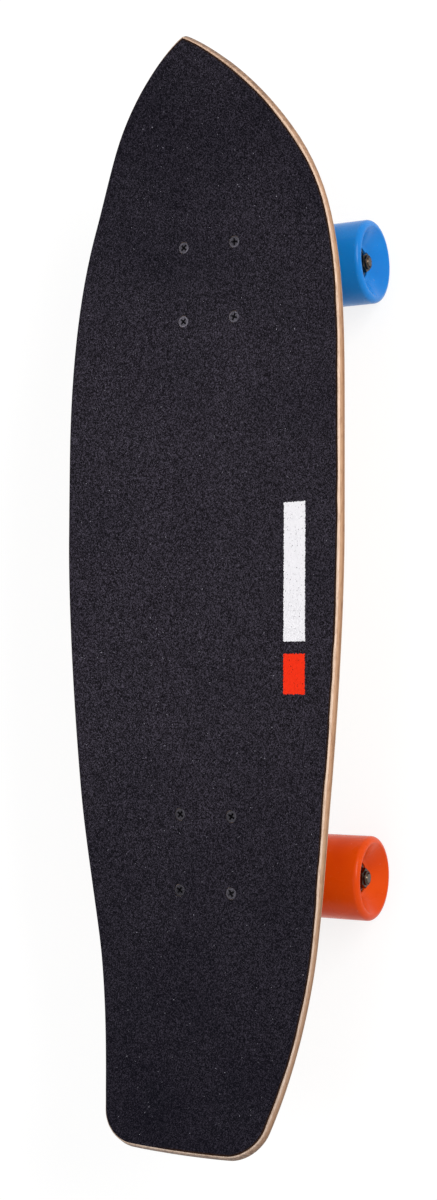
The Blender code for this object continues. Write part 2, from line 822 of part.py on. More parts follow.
wood = material("maple", (0.58, 0.34, 0.20), 0.55)
grit = material("grip_tape", (0.022, 0.020, 0.025), 0.9)
rubber = material("riser_rubber", (0.02, 0.02, 0.02), 0.8)
black_steel = material("black_steel", (0.03, 0.03, 0.03), 0.45, 1.0)
zinc_steel = material("zinc_steel", (0.55, 0.55, 0.56), 0.35, 1.0)
cast_aluminium = material("cast_aluminium", (0.60, 0.61, 0.62), 0.42, 1.0)
urethane_blue = material("urethane_blue", (0.008, 0.12, 0.42), 0.35)
urethane_orange = material("urethane_orange", (0.60, 0.048, 0.003), 0.35)
bushing_urethane = material("bushing_urethane", (0.03, 0.03, 0.03), 0.5)
cup_plastic = material("cup_plastic", (0.05, 0.05, 0.05), 0.6)
bearing_steel = material("bearing_steel", (0.10, 0.10, 0.10), 0.35, 1.0)

deck_shape = deck_mesh()
highest_x = max(vertex.co.x for vertex in deck_shape.vertices)
lowest_x = min(vertex.co.x for vertex in deck_shape.vertices)
board = empty("board", (-(lowest_x + highest_x) / 2, 0, deck_top_height))
piece("deck", deck_shape, wood, board)
piece("grip_tape", grip_mesh(), grit, board)

bolt = bolt_mesh()
lock_nut = nut_mesh(lock_nut_across_flats, lock_nut_height, bolt_radius + seat_gap)
kingpin_nut = nut_mesh(kingpin_nut_across_flats, kingpin_nut_height, kingpin_radius + seat_gap)
nut_washer = (speed_washer_radius, speed_washer_thickness)
axle_nut = nut_mesh(axle_nut_across_flats, axle_nut_height, axle_radius + seat_gap, nut_washer)
riser = riser_mesh()
baseplate = baseplate_mesh()
pivot_cup = pivot_cup_mesh()
kingpin = kingpin_mesh()
board_bushing = bushing_mesh(board_bushing_height, bushing_radius)
road_bushing = bushing_mesh(road_bushing_height, road_bushing_small_radius)
board_washer = cup_washer_mesh(bushing_radius)
road_washer = cup_washer_mesh(road_bushing_small_radius)
hanger = moved(hanger_mesh(), Matrix.Translation(-yoke_centre))
axle = axle_mesh()
spacer = spacer_mesh()
outward_nut = {side: along_y(axle_nut.copy(), side) for side in (1, -1)}
outward_bearing = {side: bearing_mesh(side) for side in (1, -1)}

kingpin_turn = Euler((0, kingpin_tilt, 0))
kingpin_flip = (kingpin_turn.to_matrix() @ Matrix.Rotation(math.pi, 3, "X")).to_euler()
stub_turn = Euler((0, math.pi / 2 - pivot_stub_angle, 0))


def add_truck(end_name, end, wheel_shape, wheel_finish):
    """One truck with its bolts and wheels. The rear truck is the front one turned half a turn about Z."""
    place = (end * truck_spacing / 2, 0, -truck_below_deck_top)
    truck = empty(f"{end_name}_truck", place, board, (0, 0, 0 if end > 0 else math.pi))
    piece(f"{end_name}_riser_pad", riser, rubber, truck)
    piece(f"{end_name}_baseplate", baseplate, cast_aluminium, truck)
    for number, (x, y) in enumerate(bolt_places, 1):
        head = (x, y, truck_below_deck_top + bolt_top)
        under_plate = (x, y, -baseplate_thickness - seat_gap)
        piece(f"{end_name}_deck_bolt_{number}", bolt, black_steel, truck, head)
        piece(f"{end_name}_lock_nut_{number}", lock_nut, zinc_steel, truck, under_plate, (math.pi, 0, 0))
    piece(f"{end_name}_pivot_cup", pivot_cup, cup_plastic, truck, pivot_centre, stub_turn)
    piece(f"{end_name}_kingpin", kingpin, zinc_steel, truck, yoke_centre, kingpin_turn)

    def on_kingpin(name, mesh, finish, height, flipped):
        turn = kingpin_flip if flipped else kingpin_turn
        piece(f"{end_name}_{name}", mesh, finish, truck, yoke_centre + height * kingpin_up, turn)

    on_kingpin("board_bushing", board_bushing, bushing_urethane, bushing_seat, False)
    on_kingpin("board_washer", board_washer, zinc_steel, board_washer_at, False)
    on_kingpin("road_bushing", road_bushing, bushing_urethane, -bushing_seat, True)
    on_kingpin("road_washer", road_washer, zinc_steel, -road_washer_at, True)
    on_kingpin("kingpin_nut", kingpin_nut, zinc_steel, -kingpin_nut_at, True)

    steered = piece(f"{end_name}_hanger", hanger, cast_aluminium, truck, yoke_centre)
    to_axle = axle_centre - yoke_centre
    piece(f"{end_name}_axle", axle, zinc_steel, steered, to_axle)
    for side in (1, -1):
        side_name = "left" if side * end > 0 else "right"
        corner = f"{end_name}_{side_name}"

        def out(y):
            return to_axle + Vector((0, side * y, 0))

        piece(f"{corner}_bearing_spacer", spacer, zinc_steel, steered, out(wheel_middle))
        piece(f"{corner}_axle_nut", outward_nut[side], zinc_steel, steered, out(axle_nut_at))
        wheel = piece(f"{corner}_wheel", wheel_shape, wheel_finish, steered, out(wheel_middle))
        for which, direction in (("inner", -1), ("outer", 1)):
            offset = direction * side * (spacer_length + bearing_width) / 2
            shape = outward_bearing[direction * side]
            piece(f"{corner}_{which}_bearing", shape, bearing_steel, wheel, (0, offset, 0))


add_truck("front", 1, wheel_mesh(), urethane_blue)
add_truck("rear", -1, wheel_mesh(), urethane_orange)
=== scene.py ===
"""The looks of a cruiser skateboard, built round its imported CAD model.

Metres, +Z up, +X to the nose. The board stands on its wheels on a pale floor and is seen from above, from the
rider's right. Each truck is made in its own frame: +X points outboard, and the origin is the middle of the
bolt pattern, on the baseplate's mounting face.
"""

import math

import bmesh
import bpy
from mathutils import Matrix, Vector
from mathutils.noise import noise as waver


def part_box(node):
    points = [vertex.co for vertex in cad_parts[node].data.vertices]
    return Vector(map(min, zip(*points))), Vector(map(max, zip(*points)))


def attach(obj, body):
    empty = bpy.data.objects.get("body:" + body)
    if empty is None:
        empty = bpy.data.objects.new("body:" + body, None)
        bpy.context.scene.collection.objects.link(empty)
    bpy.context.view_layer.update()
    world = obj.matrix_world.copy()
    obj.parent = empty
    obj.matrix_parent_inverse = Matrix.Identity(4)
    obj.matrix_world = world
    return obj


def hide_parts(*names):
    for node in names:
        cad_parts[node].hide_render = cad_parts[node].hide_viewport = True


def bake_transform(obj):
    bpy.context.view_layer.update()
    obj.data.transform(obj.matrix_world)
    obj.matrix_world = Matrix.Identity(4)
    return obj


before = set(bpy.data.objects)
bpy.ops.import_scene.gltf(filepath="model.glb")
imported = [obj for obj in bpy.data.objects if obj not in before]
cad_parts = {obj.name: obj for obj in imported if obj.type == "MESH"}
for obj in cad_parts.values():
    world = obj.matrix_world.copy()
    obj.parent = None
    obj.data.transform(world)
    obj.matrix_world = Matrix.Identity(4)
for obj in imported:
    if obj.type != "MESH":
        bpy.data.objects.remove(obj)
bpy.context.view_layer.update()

# The deck's form, as in the CAD. Distances along the deck start in the middle between the trucks.
DECK_WIDTH = 0.2178
DECK_THICKNESS = 0.0090
WIDEST_AT = 0.0184
NOSE_REACH = 0.3787
TAIL_REACH = 0.4118
NOSE_FULLNESS = 4.16
NOSE_BLUNTNESS = 1.146
SIDE_TAPER = 0.0445
SIDE_TAPER_POWER = 1.63
TAIL_PINCH = 0.0070
TAIL_PINCH_POWER = 8.0
TAIL_CORNER_RADIUS = 0.0211
TAIL_BOW = 0.0008
FLAT_STRIP_WIDTH = 0.056
CONCAVE_RISE = 0.0138
CONCAVE_POWER = 1.3
CONCAVE_RISE_AT_ENDS = 0.0055
NOSE_CONCAVE_FADE = (0.083, 0.279)
TAIL_CONCAVE_FADE = (0.160, 0.289)
NOSE_BEND_START = 0.2478
NOSE_BEND_RADIUS = 0.129
NOSE_BEND_ANGLE = math.radians(23.4)
TAIL_BEND_START = 0.2638
TAIL_BEND_RADIUS = 0.276
TOP_EDGE_ROUND = 0.0008
BOTTOM_EDGE_ROUND = 0.0030
GRIP_THICKNESS = 0.0008
GRIP_GAP = 0.0002

# The trucks, wheels and fasteners, as in the CAD
GAP = 0.0002
HOLE_SPACING_ALONG = 0.053975
HOLE_SPACING_ACROSS = 0.041275
PLATE_HALF_LENGTH = 0.041
PLATE_HALF_WIDTH = 0.028
PLATE_CORNER = 0.009
PLATE_HOLE_RADIUS = 0.0027
RISER_THICKNESS = 0.0060
TRUCK_BELOW_DECK_TOP = 0.0154
TRUCK_HEIGHT = 0.0506
AXLE_OUTBOARD = 0.0182
KINGPIN_TILT = math.radians(27.0)
YOKE_TO_AXLE = 0.0353
STUB_ANGLE = math.radians(55.0)
STUB_LENGTH = 0.024
BASEPLATE_THICKNESS = 0.0055
HANGER_HALF_WIDTH = 0.06475
SPEED_WASHER_THICKNESS = 0.0008
BEARING_WIDTH = 0.0070
BEARING_RADIUS = 0.0110
BEARING_FROM_MIDDLE = 0.0085
AXLE_RADIUS = 0.00385
AXLE_NUT_AT = 0.08995
WHEEL_MIDDLE = 0.07775
WHEEL_RADIUS = 0.0302
WHEEL_WIDTH = 0.0480
WHEEL_EDGE_ROUND = 0.0040
KINGPIN_RADIUS = 0.00475
BUSHING_RADIUS = 0.0118
ROAD_BUSHING_FAR_RADIUS = 0.0088
KINGPIN_HOLE = KINGPIN_RADIUS + 0.0003
BUSHING_SEAT = 0.0032
BOARD_BUSHING_HEIGHT = 0.0140
ROAD_BUSHING_HEIGHT = 0.0105
CUP_WASHER_THICKNESS = 0.0014
BOLT_HEAD_RADIUS = 0.0042
BOLT_RADIUS = 0.0024
BOLT_PITCH = 0.0008
BOLT_HEAD_SUNK = 0.0005
DECK_HOLE_RADIUS = 0.0030
GRIP_HOLE_RADIUS = 0.0044
LOCK_NUT_HEIGHT = 0.0055
LOCK_NUT_FLATS = 0.0095
KINGPIN_NUT_HEIGHT = 0.0080
KINGPIN_NUT_FLATS = 0.0143
AXLE_NUT_HEIGHT = 0.0062
AXLE_NUT_FLATS = 0.0127
COARSE_PITCH = 0.00106
END_PAST_NUT = 0.0015

# The camera that the photograph was taken with, found from the bolts, the outline and the wheels
CAMERA_FROM_DECK = (-0.08248, -0.61260, 1.13518)
CAMERA_TURN = (2.738, 27.979, -89.654)
PHOTO_HEIGHT = 1200
FOCAL_PIXELS = 1806.1
SENSOR = 36.0

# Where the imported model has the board
axle_places = {end: sum(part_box(name), Vector()) / 2 for end, name in ((1, "front_axle"), (-1, "rear_axle"))}
DECK_MIDDLE = (axle_places[1].x + axle_places[-1].x) / 2
DECK_TOP = axle_places[1].z + TRUCK_HEIGHT + TRUCK_BELOW_DECK_TOP
truck_origins = {
    end: Vector((place.x - end * AXLE_OUTBOARD, 0, place.z + TRUCK_HEIGHT))
    for end, place in axle_places.items()
}
pattern_places = [
    (along * HOLE_SPACING_ALONG / 2, across * HOLE_SPACING_ACROSS / 2)
    for along in (1, -1)
    for across in (1, -1)
]
bolt_places = [(origin.x + x, y) for origin in truck_origins.values() for x, y in pattern_places]
BOLT_HEAD_Z = DECK_TOP + GRIP_GAP + GRIP_THICKNESS - BOLT_HEAD_SUNK
LOCK_NUT_Z = truck_origins[1].z - BASEPLATE_THICKNESS - GAP


# Small helpers for meshes


def mesh_of(name, shape):
    """A bmesh as a mesh whose faces point outwards."""
    bmesh.ops.recalc_face_normals(shape, faces=shape.faces)
    mesh = bpy.data.meshes.new(name)
    shape.to_mesh(mesh)
    shape.free()
    return mesh


def mesh_from(name, points, edges=(), faces=()):
    mesh = bpy.data.meshes.new(name)
    mesh.from_pydata(points, edges, faces)
    return mesh


def placed(mesh, *moves):
    """The mesh after some moves, the first one first."""
    for move in moves:
        mesh.transform(move)
    return mesh


def twin(mesh, *moves):
    return placed(mesh.copy(), *moves)


def shift(x=0.0, y=0.0, z=0.0):
    return Matrix.Translation((x, y, z))


def towards(direction):
    """The rotation that turns +Z to a direction."""
    return Vector((0, 0, 1)).rotation_difference(direction).to_matrix().to_4x4()


def in_scene(name, data):
    made = bpy.data.objects.new(name, data)
    bpy.context.scene.collection.objects.link(made)
    return made


def settled(holder):
    """The mesh of an object with its modifiers applied. The object goes."""
    graph = bpy.context.evaluated_depsgraph_get()
    mesh = bpy.data.meshes.new_from_object(holder.evaluated_get(graph))
    bpy.data.objects.remove(holder)
    return mesh


SLIVER = 2e-6


def without_slivers(mesh):
    """The mesh without the thin faces that a cut leaves, and without faces folded onto each other."""
    shape = bmesh.new()
    shape.from_mesh(mesh)
    bmesh.ops.remove_doubles(shape, verts=shape.verts, dist=SLIVER)
    bmesh.ops.dissolve_degenerate(shape, edges=shape.edges, dist=SLIVER)
    bmesh.ops.triangulate(shape, faces=[face for face in shape.faces if len(face.verts) > 4])
    sharing = {}
    for face in shape.faces:
        sharing.setdefault(frozenset(face.verts), []).append(face)
    folded = [face for faces in sharing.values() if len(faces) > 1 for face in faces]
    bmesh.ops.delete(shape, geom=folded, context="FACES")
    shape.to_mesh(mesh)
    shape.free()
    return mesh


def combined(mesh, others, operation):
    """The mesh joined with, cut by or kept within others, in turn."""
    for other in others:
        holder, tool = in_scene("holder", mesh), in_scene("tool", other)
        step = holder.modifiers.new("step", "BOOLEAN")
        step.operation = operation
        step.object = tool
        mesh = without_slivers(settled(holder))
        bpy.data.objects.remove(tool)
    if not mesh.vertices:
        raise ValueError(f"{operation} leaves nothing")
    return mesh


def cut(mesh, *tools):
    return combined(mesh, tools, "DIFFERENCE")


def merged(*meshes):
    """One mesh of several loose ones."""
    shape = bmesh.new()
    for mesh in meshes:
        shape.from_mesh(mesh)
    made = bpy.data.meshes.new("merged")
    shape.to_mesh(made)
    shape.free()
    return made


def marked(mesh, name, rule):
    """Gives each vertex a number that a material can read. The rule takes the vertex's place."""
    values = mesh.attributes.new(name, "FLOAT", "POINT").data
    for vertex, value in zip(mesh.vertices, values):
        value.value = rule(vertex.co)
    return mesh


def from_axis(place):
    """A place's distance from the Z axis."""
    return math.hypot(place.x, place.y)


def circle(radius, sides):
    turns = [2 * math.pi * k / sides for k in range(sides)]
    return [(radius * math.cos(turn), radius * math.sin(turn)) for turn in turns]


def rounded(corners, closed=True, steps=4):
    """A line whose corners (across, up, rounding) are turned into arcs. A corner without rounding stays."""
    points = []
    count = len(corners)
    for k, corner in enumerate(corners):
        here = Vector(corner[:2])
        size = corner[2] if len(corner) > 2 else 0.0
        if not size or (not closed and k in (0, count - 1)):
            points.append(tuple(here))
            continue
        back = (Vector(corners[k - 1][:2]) - here).normalized()
        ahead = (Vector(corners[(k + 1) % count][:2]) - here).normalized()
        half = back.angle(ahead) / 2
        reach = size / math.tan(half)
        centre = here + (back + ahead).normalized() * size / math.sin(half)
        start, end = here + back * reach - centre, here + ahead * reach - centre
        for step in range(steps + 1):
            share = step / steps
            arm = (start * (1 - share) + end * share).normalized() * size
            points.append(tuple(centre + arm))
    return points


def flipped(corners):
    """Corners mirrored in z = 0 and in reverse order, so that they go on from where the first ones end."""
    return [(radius, -height, *rounding) for radius, height, *rounding in reversed(corners)]


def bridge(shape, one, other):
    """A band of faces between two loops of vertices."""
    for k in range(len(one)):
        after = (k + 1) % len(one)
        shape.faces.new((one[k], one[after], other[after], other[k]))


def stacked(loops):
    """A solid with flat ends whose wall runs through loops of points."""
    shape = bmesh.new()
    rings = [[shape.verts.new(point) for point in loop] for loop in loops]
    shape.faces.new(rings[0])
    shape.faces.new(rings[-1])
    for one, other in zip(rings, rings[1:]):
        bridge(shape, one, other)
    return mesh_of("stacked", shape)


def prism(outline, low, high):
    """A solid between two heights over an outline."""
    return stacked([[(x, y, z) for x, y in outline] for z in (low, high)])


def disc(centre, direction, radius):
    turn = towards(direction)
    return [centre + turn @ Vector((x, y, 0)) for x, y in circle(radius, 40)]


def hull(points):
    """The convex body round some points."""
    shape = bmesh.new()
    for point in points:
        shape.verts.new(point)
    made = bmesh.ops.convex_hull(shape, input=shape.verts)
    unused = {item for key in ("geom_interior", "geom_unused") for item in made[key]}
    loose = [item for item in unused if isinstance(item, bmesh.types.BMVert)]
    bmesh.ops.delete(shape, geom=loose, context="VERTS")
    return mesh_of("hull", shape)


# Small helpers for node trees. Where a value is a socket, the new node goes into that socket's tree.


def wired(target, value):
    """Links an input to an output, or sets its value."""
    if isinstance(value, bpy.types.NodeSocket):
        target.id_data.links.new(value, target)
    else:
        target.default_value = value


def node(tree, kind, inputs=None, **settings):
    """A node with its settings made and its inputs set or linked, by the input's name or number."""
    made = tree.nodes.new(kind)
    for name, value in settings.items():
        setattr(made, name, value)
    for name, value in (inputs or {}).items():
        wired(made.inputs[name], value)
    return made


def output(tree, kind, inputs=None, which=0, **settings):
    """One output of a new node."""
    return node(tree, kind, inputs, **settings).outputs[which]


def tree_of(*values):
    return next(value.id_data for value in values if isinstance(value, bpy.types.NodeSocket))


def maths(operation, *values):
    return output(tree_of(*values), "ShaderNodeMath", dict(enumerate(values)), operation=operation)


def times(one, other):
    return maths("MULTIPLY", one, other)


def plus(one, other):
    return maths("ADD", one, other)


def blended(share, first, second, kind="MIX"):
    """A colour between two, by a share."""
    inputs = {0: share, 6: first, 7: second}
    settings = {"data_type": "RGBA", "blend_type": kind, "clamp_factor": True}
    return output(tree_of(share, first, second), "ShaderNodeMix", inputs, 2, **settings)


def tinted(share, colour, tone):
    """A colour multiplied by a tone, by a share."""
    return blended(share, colour, blended(1.0, colour, tone, "MULTIPLY"))


def between(value, low, high, to_low=0.0, to_high=1.0):
    """A value stretched from one range to another, and kept within it."""
    inputs = {"Value": value, "From Min": low, "From Max": high, "To Min": to_low, "To Max": to_high}
    return output(value.id_data, "ShaderNodeMapRange", inputs)


def noise(place, scale, detail=2.0, roughness=0.5):
    inputs = {"Vector": place, "Scale": scale, "Detail": detail, "Roughness": roughness}
    return output(place.id_data, "ShaderNodeTexNoise", inputs)


def stretched_noise(place, scales, detail, roughness=0.5):
    """Noise with a scale of its own along each axis."""
    inputs = {"Vector": place, "Scale": scales}
    stretched = output(place.id_data, "ShaderNodeMapping", inputs, vector_type="POINT")
    return noise(stretched, 1.0, detail, roughness)


def parts_of(vector):
    return node(vector.id_data, "ShaderNodeSeparateXYZ", {"Vector": vector}).outputs


def object_place(tree):
    return output(tree, "ShaderNodeTexCoord", which="Object")


def attribute(tree, name):
    return output(tree, "ShaderNodeAttribute", which="Fac", attribute_name=name)


def linear(red, green, blue):
    """A colour given as a screen shows it, from 0 to 255."""
    shares = [value / 255 for value in (red, green, blue)]
    return (*[s / 12.92 if s <= 0.04045 else ((s + 0.055) / 1.055) ** 2.4 for s in shares], 1.0)


def group_tree(name, kind, inputs, outputs):
    """A node group and the sockets of its two end nodes. A socket is given as its label, kind and value."""
    tree = bpy.data.node_groups.new(name, kind)
    for in_out, sockets in (("INPUT", inputs), ("OUTPUT", outputs)):
        for label, socket_kind, *value in sockets:
            made = tree.interface.new_socket(
                name=label, in_out=in_out, socket_type="NodeSocket" + socket_kind
            )
            if value:
                made.default_value = value[0]
    return tree, node(tree, "NodeGroupInput").outputs, node(tree, "NodeGroupOutput").inputs


# The lathe, the hole pattern and the scattered grit are made by Geometry Nodes


def growing_tree(name, *inputs):
    geometry = ("Geometry", "Geometry")
    return group_tree(name, "GeometryNodeTree", [geometry, *inputs, ("Material", "Material")], [geometry])


def finish_tree(given, result, last):
    """Ends a tree in real geometry with its material set."""
    real = output(last.id_data, "GeometryNodeRealizeInstances", {"Geometry": last})
    coat = {"Geometry": real, "Material": given["Material"]}
    wired(result["Geometry"], output(last.id_data, "GeometryNodeSetMaterial", coat))
    return last.id_data


def grown(mesh, tree, **values):
    """What a tree makes of a mesh, with the tree's named inputs set."""
    holder = in_scene("holder", mesh)
    step = holder.modifiers.new("grow", "NODES")
    step.node_group = tree
    for item in tree.interface.items_tree:
        name = item.name.lower().replace(" ", "_")
        if item.in_out == "INPUT" and name in values:
            step[item.identifier] = values[name]
    return settled(holder)


LATHE_CORE = 0.02


def lathe_tree():
    """Turns a section, whose X is the distance from the core circle and whose Y points down, about Z."""
    tree, given, result = growing_tree("lathe", ("Sides", "Int"))
    section = output(tree, "GeometryNodeMeshToCurve", {"Mesh": given["Geometry"]})
    ring = {"Resolution": given["Sides"], "Radius": LATHE_CORE}
    core = output(tree, "GeometryNodeCurvePrimitiveCircle", ring)
    skin = output(tree, "GeometryNodeCurveToMesh", {"Curve": core, "Profile Curve": section})
    whole = output(tree, "GeometryNodeMergeByDistance", {"Geometry": skin, "Distance": 1e-6})
    return finish_tree(given, result, whole)


def pattern_tree():
    """Sets a copy of a piece on each point, turned by a random share of a turn about Z."""
    inputs = [("Fastener", "Object"), ("Largest Turn", "Float"), ("Seed", "Int")]
    tree, given, result = growing_tree("fastener_pattern", *inputs)
    copied = output(tree, "GeometryNodeObjectInfo", {"Object": given["Fastener"]}, "Geometry")
    turning = {3: given["Largest Turn"], "Seed": given["Seed"]}
    turn = output(tree, "FunctionNodeRandomValue", turning, 1, data_type="FLOAT")
    spin = output(tree, "ShaderNodeCombineXYZ", {"Z": turn})
    placing = {"Points": given["Geometry"], "Instance": copied, "Rotation": spin}
    return finish_tree(given, result, output(tree, "GeometryNodeInstanceOnPoints", placing))


def grit_tree():
    """Scatters sharp grains over the faces that look up, and keeps the sheet under them."""
    inputs = [("Density", "Float"), ("Grain Size", "Float"), ("Seed", "Int")]
    tree, given, result = growing_tree("grit_grains", *inputs)
    size, seed = given["Grain Size"], given["Seed"]
    up = parts_of(output(tree, "GeometryNodeInputNormal"))["Z"]
    rim = output(tree, "GeometryNodeInputNamedAttribute", {"Name": "rim"}, data_type="FLOAT")
    top = times(maths("GREATER_THAN", up, 0.5), maths("LESS_THAN", rim, 0.5))
    spread = {"Mesh": given["Geometry"], "Selection": top, "Density": given["Density"], "Seed": seed}
    points = output(tree, "GeometryNodeDistributePointsOnFaces", spread)
    cone = {"Vertices": 3, "Radius Top": 0.0, "Radius Bottom": size, "Depth": times(size, 1.3)}
    grain = output(tree, "GeometryNodeMeshCone", cone)
    turning = {"Max": (6.28, 6.28, 6.28), "Seed": seed}
    turn = output(tree, "FunctionNodeRandomValue", turning, data_type="FLOAT_VECTOR")
    scaling = {2: 0.45, 3: 1.0, "Seed": seed}
    scale = output(tree, "FunctionNodeRandomValue", scaling, 1, data_type="FLOAT")
    placing = {"Points": points, "Instance": grain, "Rotation": turn, "Scale": scale}
    grains = output(tree, "GeometryNodeInstanceOnPoints", placing)
    # A random number for each grain, by which the grip's material paints a few grains bright as painted
    # glints
    glint = output(tree, "FunctionNodeRandomValue", {"Seed": plus(seed, 1.0)}, 1, data_type="FLOAT")
    storing = {"Geometry": grains, "Name": "glint", "Value": glint}
    stored = output(tree, "GeometryNodeStoreNamedAttribute", storing, data_type="FLOAT", domain="INSTANCE")
    both = node(tree, "GeometryNodeJoinGeometry")
    wired(both.inputs[0], stored)
    wired(both.inputs[0], given["Geometry"])
    return finish_tree(given, result, both.outputs[0])


LATHE = lathe_tree()
PATTERN = pattern_tree()
GRIT = grit_tree()


def turned(corners, sides=64, closed=True, steps=4):
    """A ring: a closed section of (radius, height, rounding) corners turned about Z."""
    points = rounded(corners, closed, steps)
    edges = [(k, k + 1) for k in range(len(points) - 1)]
    if closed:
        edges.append((len(points) - 1, 0))
    section = mesh_from("section", [(radius - LATHE_CORE, -height, 0) for radius, height in points], edges)
    shape = bmesh.new()
    shape.from_mesh(grown(section, LATHE, sides=sides))
    return mesh_of("turned", shape)


def solid(corners, sides=48):
    """A solid: a line of corners that starts and ends on Z, turned about it."""
    return turned(corners, sides, False)


def rod(radius, low, high, sides=48):
    return solid([(0, low), (radius, low), (radius, high), (0, high)], sides)


def threaded(mesh, low, high, pitch, depth):
    """Cuts a screw thread about Z into the outer wall of a turned mesh with close rows there."""
    outer = max(from_axis(vertex.co) for vertex in mesh.vertices if low <= vertex.co.z <= high)
    for vertex in mesh.vertices:
        radius = from_axis(vertex.co)
        if low < vertex.co.z < high and radius > outer - depth / 4:
            phase = (vertex.co.z / pitch - math.atan2(vertex.co.y, vertex.co.x) / (2 * math.pi)) % 1
            factor = 1 - depth * abs(2 * phase - 1) / radius
            vertex.co.x *= factor
            vertex.co.y *= factor
    return mesh


def thread_rows(radius, low, high, pitch):
    """Rows of a rod's wall close enough to carry a thread."""
    count = round((high - low) / pitch * 6)
    return [(radius, low + (high - low) * k / count) for k in range(count + 1)]


# Node groups for effects that several materials share


def skin_group(name, *more):
    """A group that gives a surface its colour, roughness and height from a place."""
    inputs = [("Place", "Vector"), ("Color", "Color"), ("Stain", "Color")]
    inputs += [("Smoothest", "Float"), ("Roughest", "Float"), *more]
    outputs = [("Color", "Color"), ("Roughness", "Float"), ("Height", "Float")]
    return group_tree(name, "ShaderNodeTree", inputs, outputs)


def roughness_by(share, given):
    spread = maths("SUBTRACT", given["Roughest"], given["Smoothest"])
    return maths("MULTIPLY_ADD", share, spread, given["Smoothest"])


def metal_skin_group():
    """Blotches, fine grain and small nicks on bare or plated metal."""
    tree, given, result = skin_group("metal_skin", ("Grain Scale", "Float", 900.0))
    blotch = noise(given["Place"], 55.0, 4.0, 0.6)
    grain = noise(given["Place"], given["Grain Scale"], 3.0, 0.6)
    nicks = between(noise(given["Place"], 260.0, 1.0), 0.68, 0.76, 0.0, 0.8)
    wired(result["Color"], blended(between(blotch, 0.45, 0.75, 0.0, 0.5), given["Color"], given["Stain"]))
    rough = between(plus(times(blotch, 0.6), times(grain, 0.4)), 0.35, 0.65)
    wired(result["Roughness"], roughness_by(rough, given))
    wired(result["Height"], maths("SUBTRACT", grain, nicks))
    return tree


def moulded_skin_group():
    """Rubber, urethane and plastic: slow shade changes, a fine matt grain and a little dust."""
    tree, given, result = skin_group("moulded_skin")
    slow = noise(given["Place"], 32.0, 3.0)
    dust = between(noise(given["Place"], 700.0, 1.0), 0.72, 0.78, 0.0, 0.12)
    colour = blended(between(slow, 0.35, 0.7), given["Color"], given["Stain"])
    wired(result["Color"], blended(dust, colour, (0.7, 0.68, 0.64, 1)))
    rough = roughness_by(between(slow, 0.3, 0.7), given)
    wired(result["Roughness"], maths("MAXIMUM", rough, times(dust, 5.0)))
    wired(result["Height"], noise(given["Place"], 1400.0, 2.0, 0.6))
    return tree


def wood_figure_group():
    """Maple: long fibres and slow waves along X, with fine pores."""
    inputs = [("Place", "Vector"), ("Light", "Color"), ("Dark", "Color")]
    outputs = [("Color", "Color"), ("Height", "Float")]
    tree, given, result = group_tree("wood_figure", "ShaderNodeTree", inputs, outputs)
    slow = stretched_noise(given["Place"], (3.0, 26.0, 60.0), 3.0)
    fibres = stretched_noise(given["Place"], (30.0, 1500.0, 1500.0), 3.0, 0.65)
    pores = between(stretched_noise(given["Place"], (170.0, 2400.0, 2400.0), 1.0), 0.66, 0.76, 0.0, 0.35)
    figure = between(plus(times(slow, 0.55), times(fibres, 0.45)), 0.36, 0.66)
    colour = blended(figure, given["Light"], given["Dark"])
    wired(result["Color"], blended(pores, colour, given["Dark"]))
    wired(result["Height"], maths("SUBTRACT", fibres, pores))
    return tree


METAL_SKIN = metal_skin_group()
MOULDED_SKIN = moulded_skin_group()
WOOD_FIGURE = wood_figure_group()


# Materials


def new_material(name, **constants):
    """A material, its tree and its shader, with the shader's plain values set."""
    made = bpy.data.materials.new(name)
    made.use_nodes = True
    shader = made.node_tree.nodes["Principled BSDF"]
    for label, value in constants.items():
        shader.inputs[label.replace("_", " ")].default_value = value
    return made, made.node_tree, shader


def coat(shader, colour, roughness, height, depth):
    """Gives a shader its colour, its roughness and a bump of a depth."""
    wired(shader.inputs["Base Color"], colour)
    wired(shader.inputs["Roughness"], roughness)
    bump = {"Height": height, "Distance": depth, "Strength": 1.0}
    wired(shader.inputs["Normal"], output(shader.id_data, "ShaderNodeBump", bump))


def skinned(name, skin, look, **constants):
    """A material, its shader and the outputs of a skin group set to a look: colour, stain, smoothest,
    roughest and, for metal, the grain's scale."""
    made, tree, shader = new_material(name, **constants)
    colour, stain, *numbers = look
    labels = ("Color", "Stain", "Smoothest", "Roughest", "Grain Scale")
    inputs = dict(zip(labels, (linear(*colour), linear(*stain), *numbers)), Place=object_place(tree))
    return made, shader, node(tree, "ShaderNodeGroup", inputs, node_tree=skin).outputs


def metal(name, *look, depth=0.00002):
    made, shader, skin = skinned(name, METAL_SKIN, look, Metallic=1.0)
    coat(shader, skin["Color"], skin["Roughness"], skin["Height"], depth)
    return made


def moulded(name, *look, depth=0.00001, **constants):
    made, shader, skin = skinned(name, MOULDED_SKIN, look, **constants)
    coat(shader, skin["Color"], skin["Roughness"], skin["Height"], depth)
    return made


def metal_with_insert(name, *look, insert, insert_metallic=0.0):
    """Metal with a part of another finish, a nylon ring or a shield, where the insert attribute says so."""
    made, shader, skin = skinned(name, METAL_SKIN, look)
    share = maths("GREATER_THAN", attribute(made.node_tree, "insert"), 0.5)
    wired(shader.inputs["Metallic"], maths("MULTIPLY_ADD", share, insert_metallic - 1.0, 1.0))
    rough = maths("MULTIPLY_ADD", share, 0.1, skin["Roughness"])
    coat(shader, blended(share, skin["Color"], linear(*insert)), rough, skin["Height"], 0.00002)
    return made


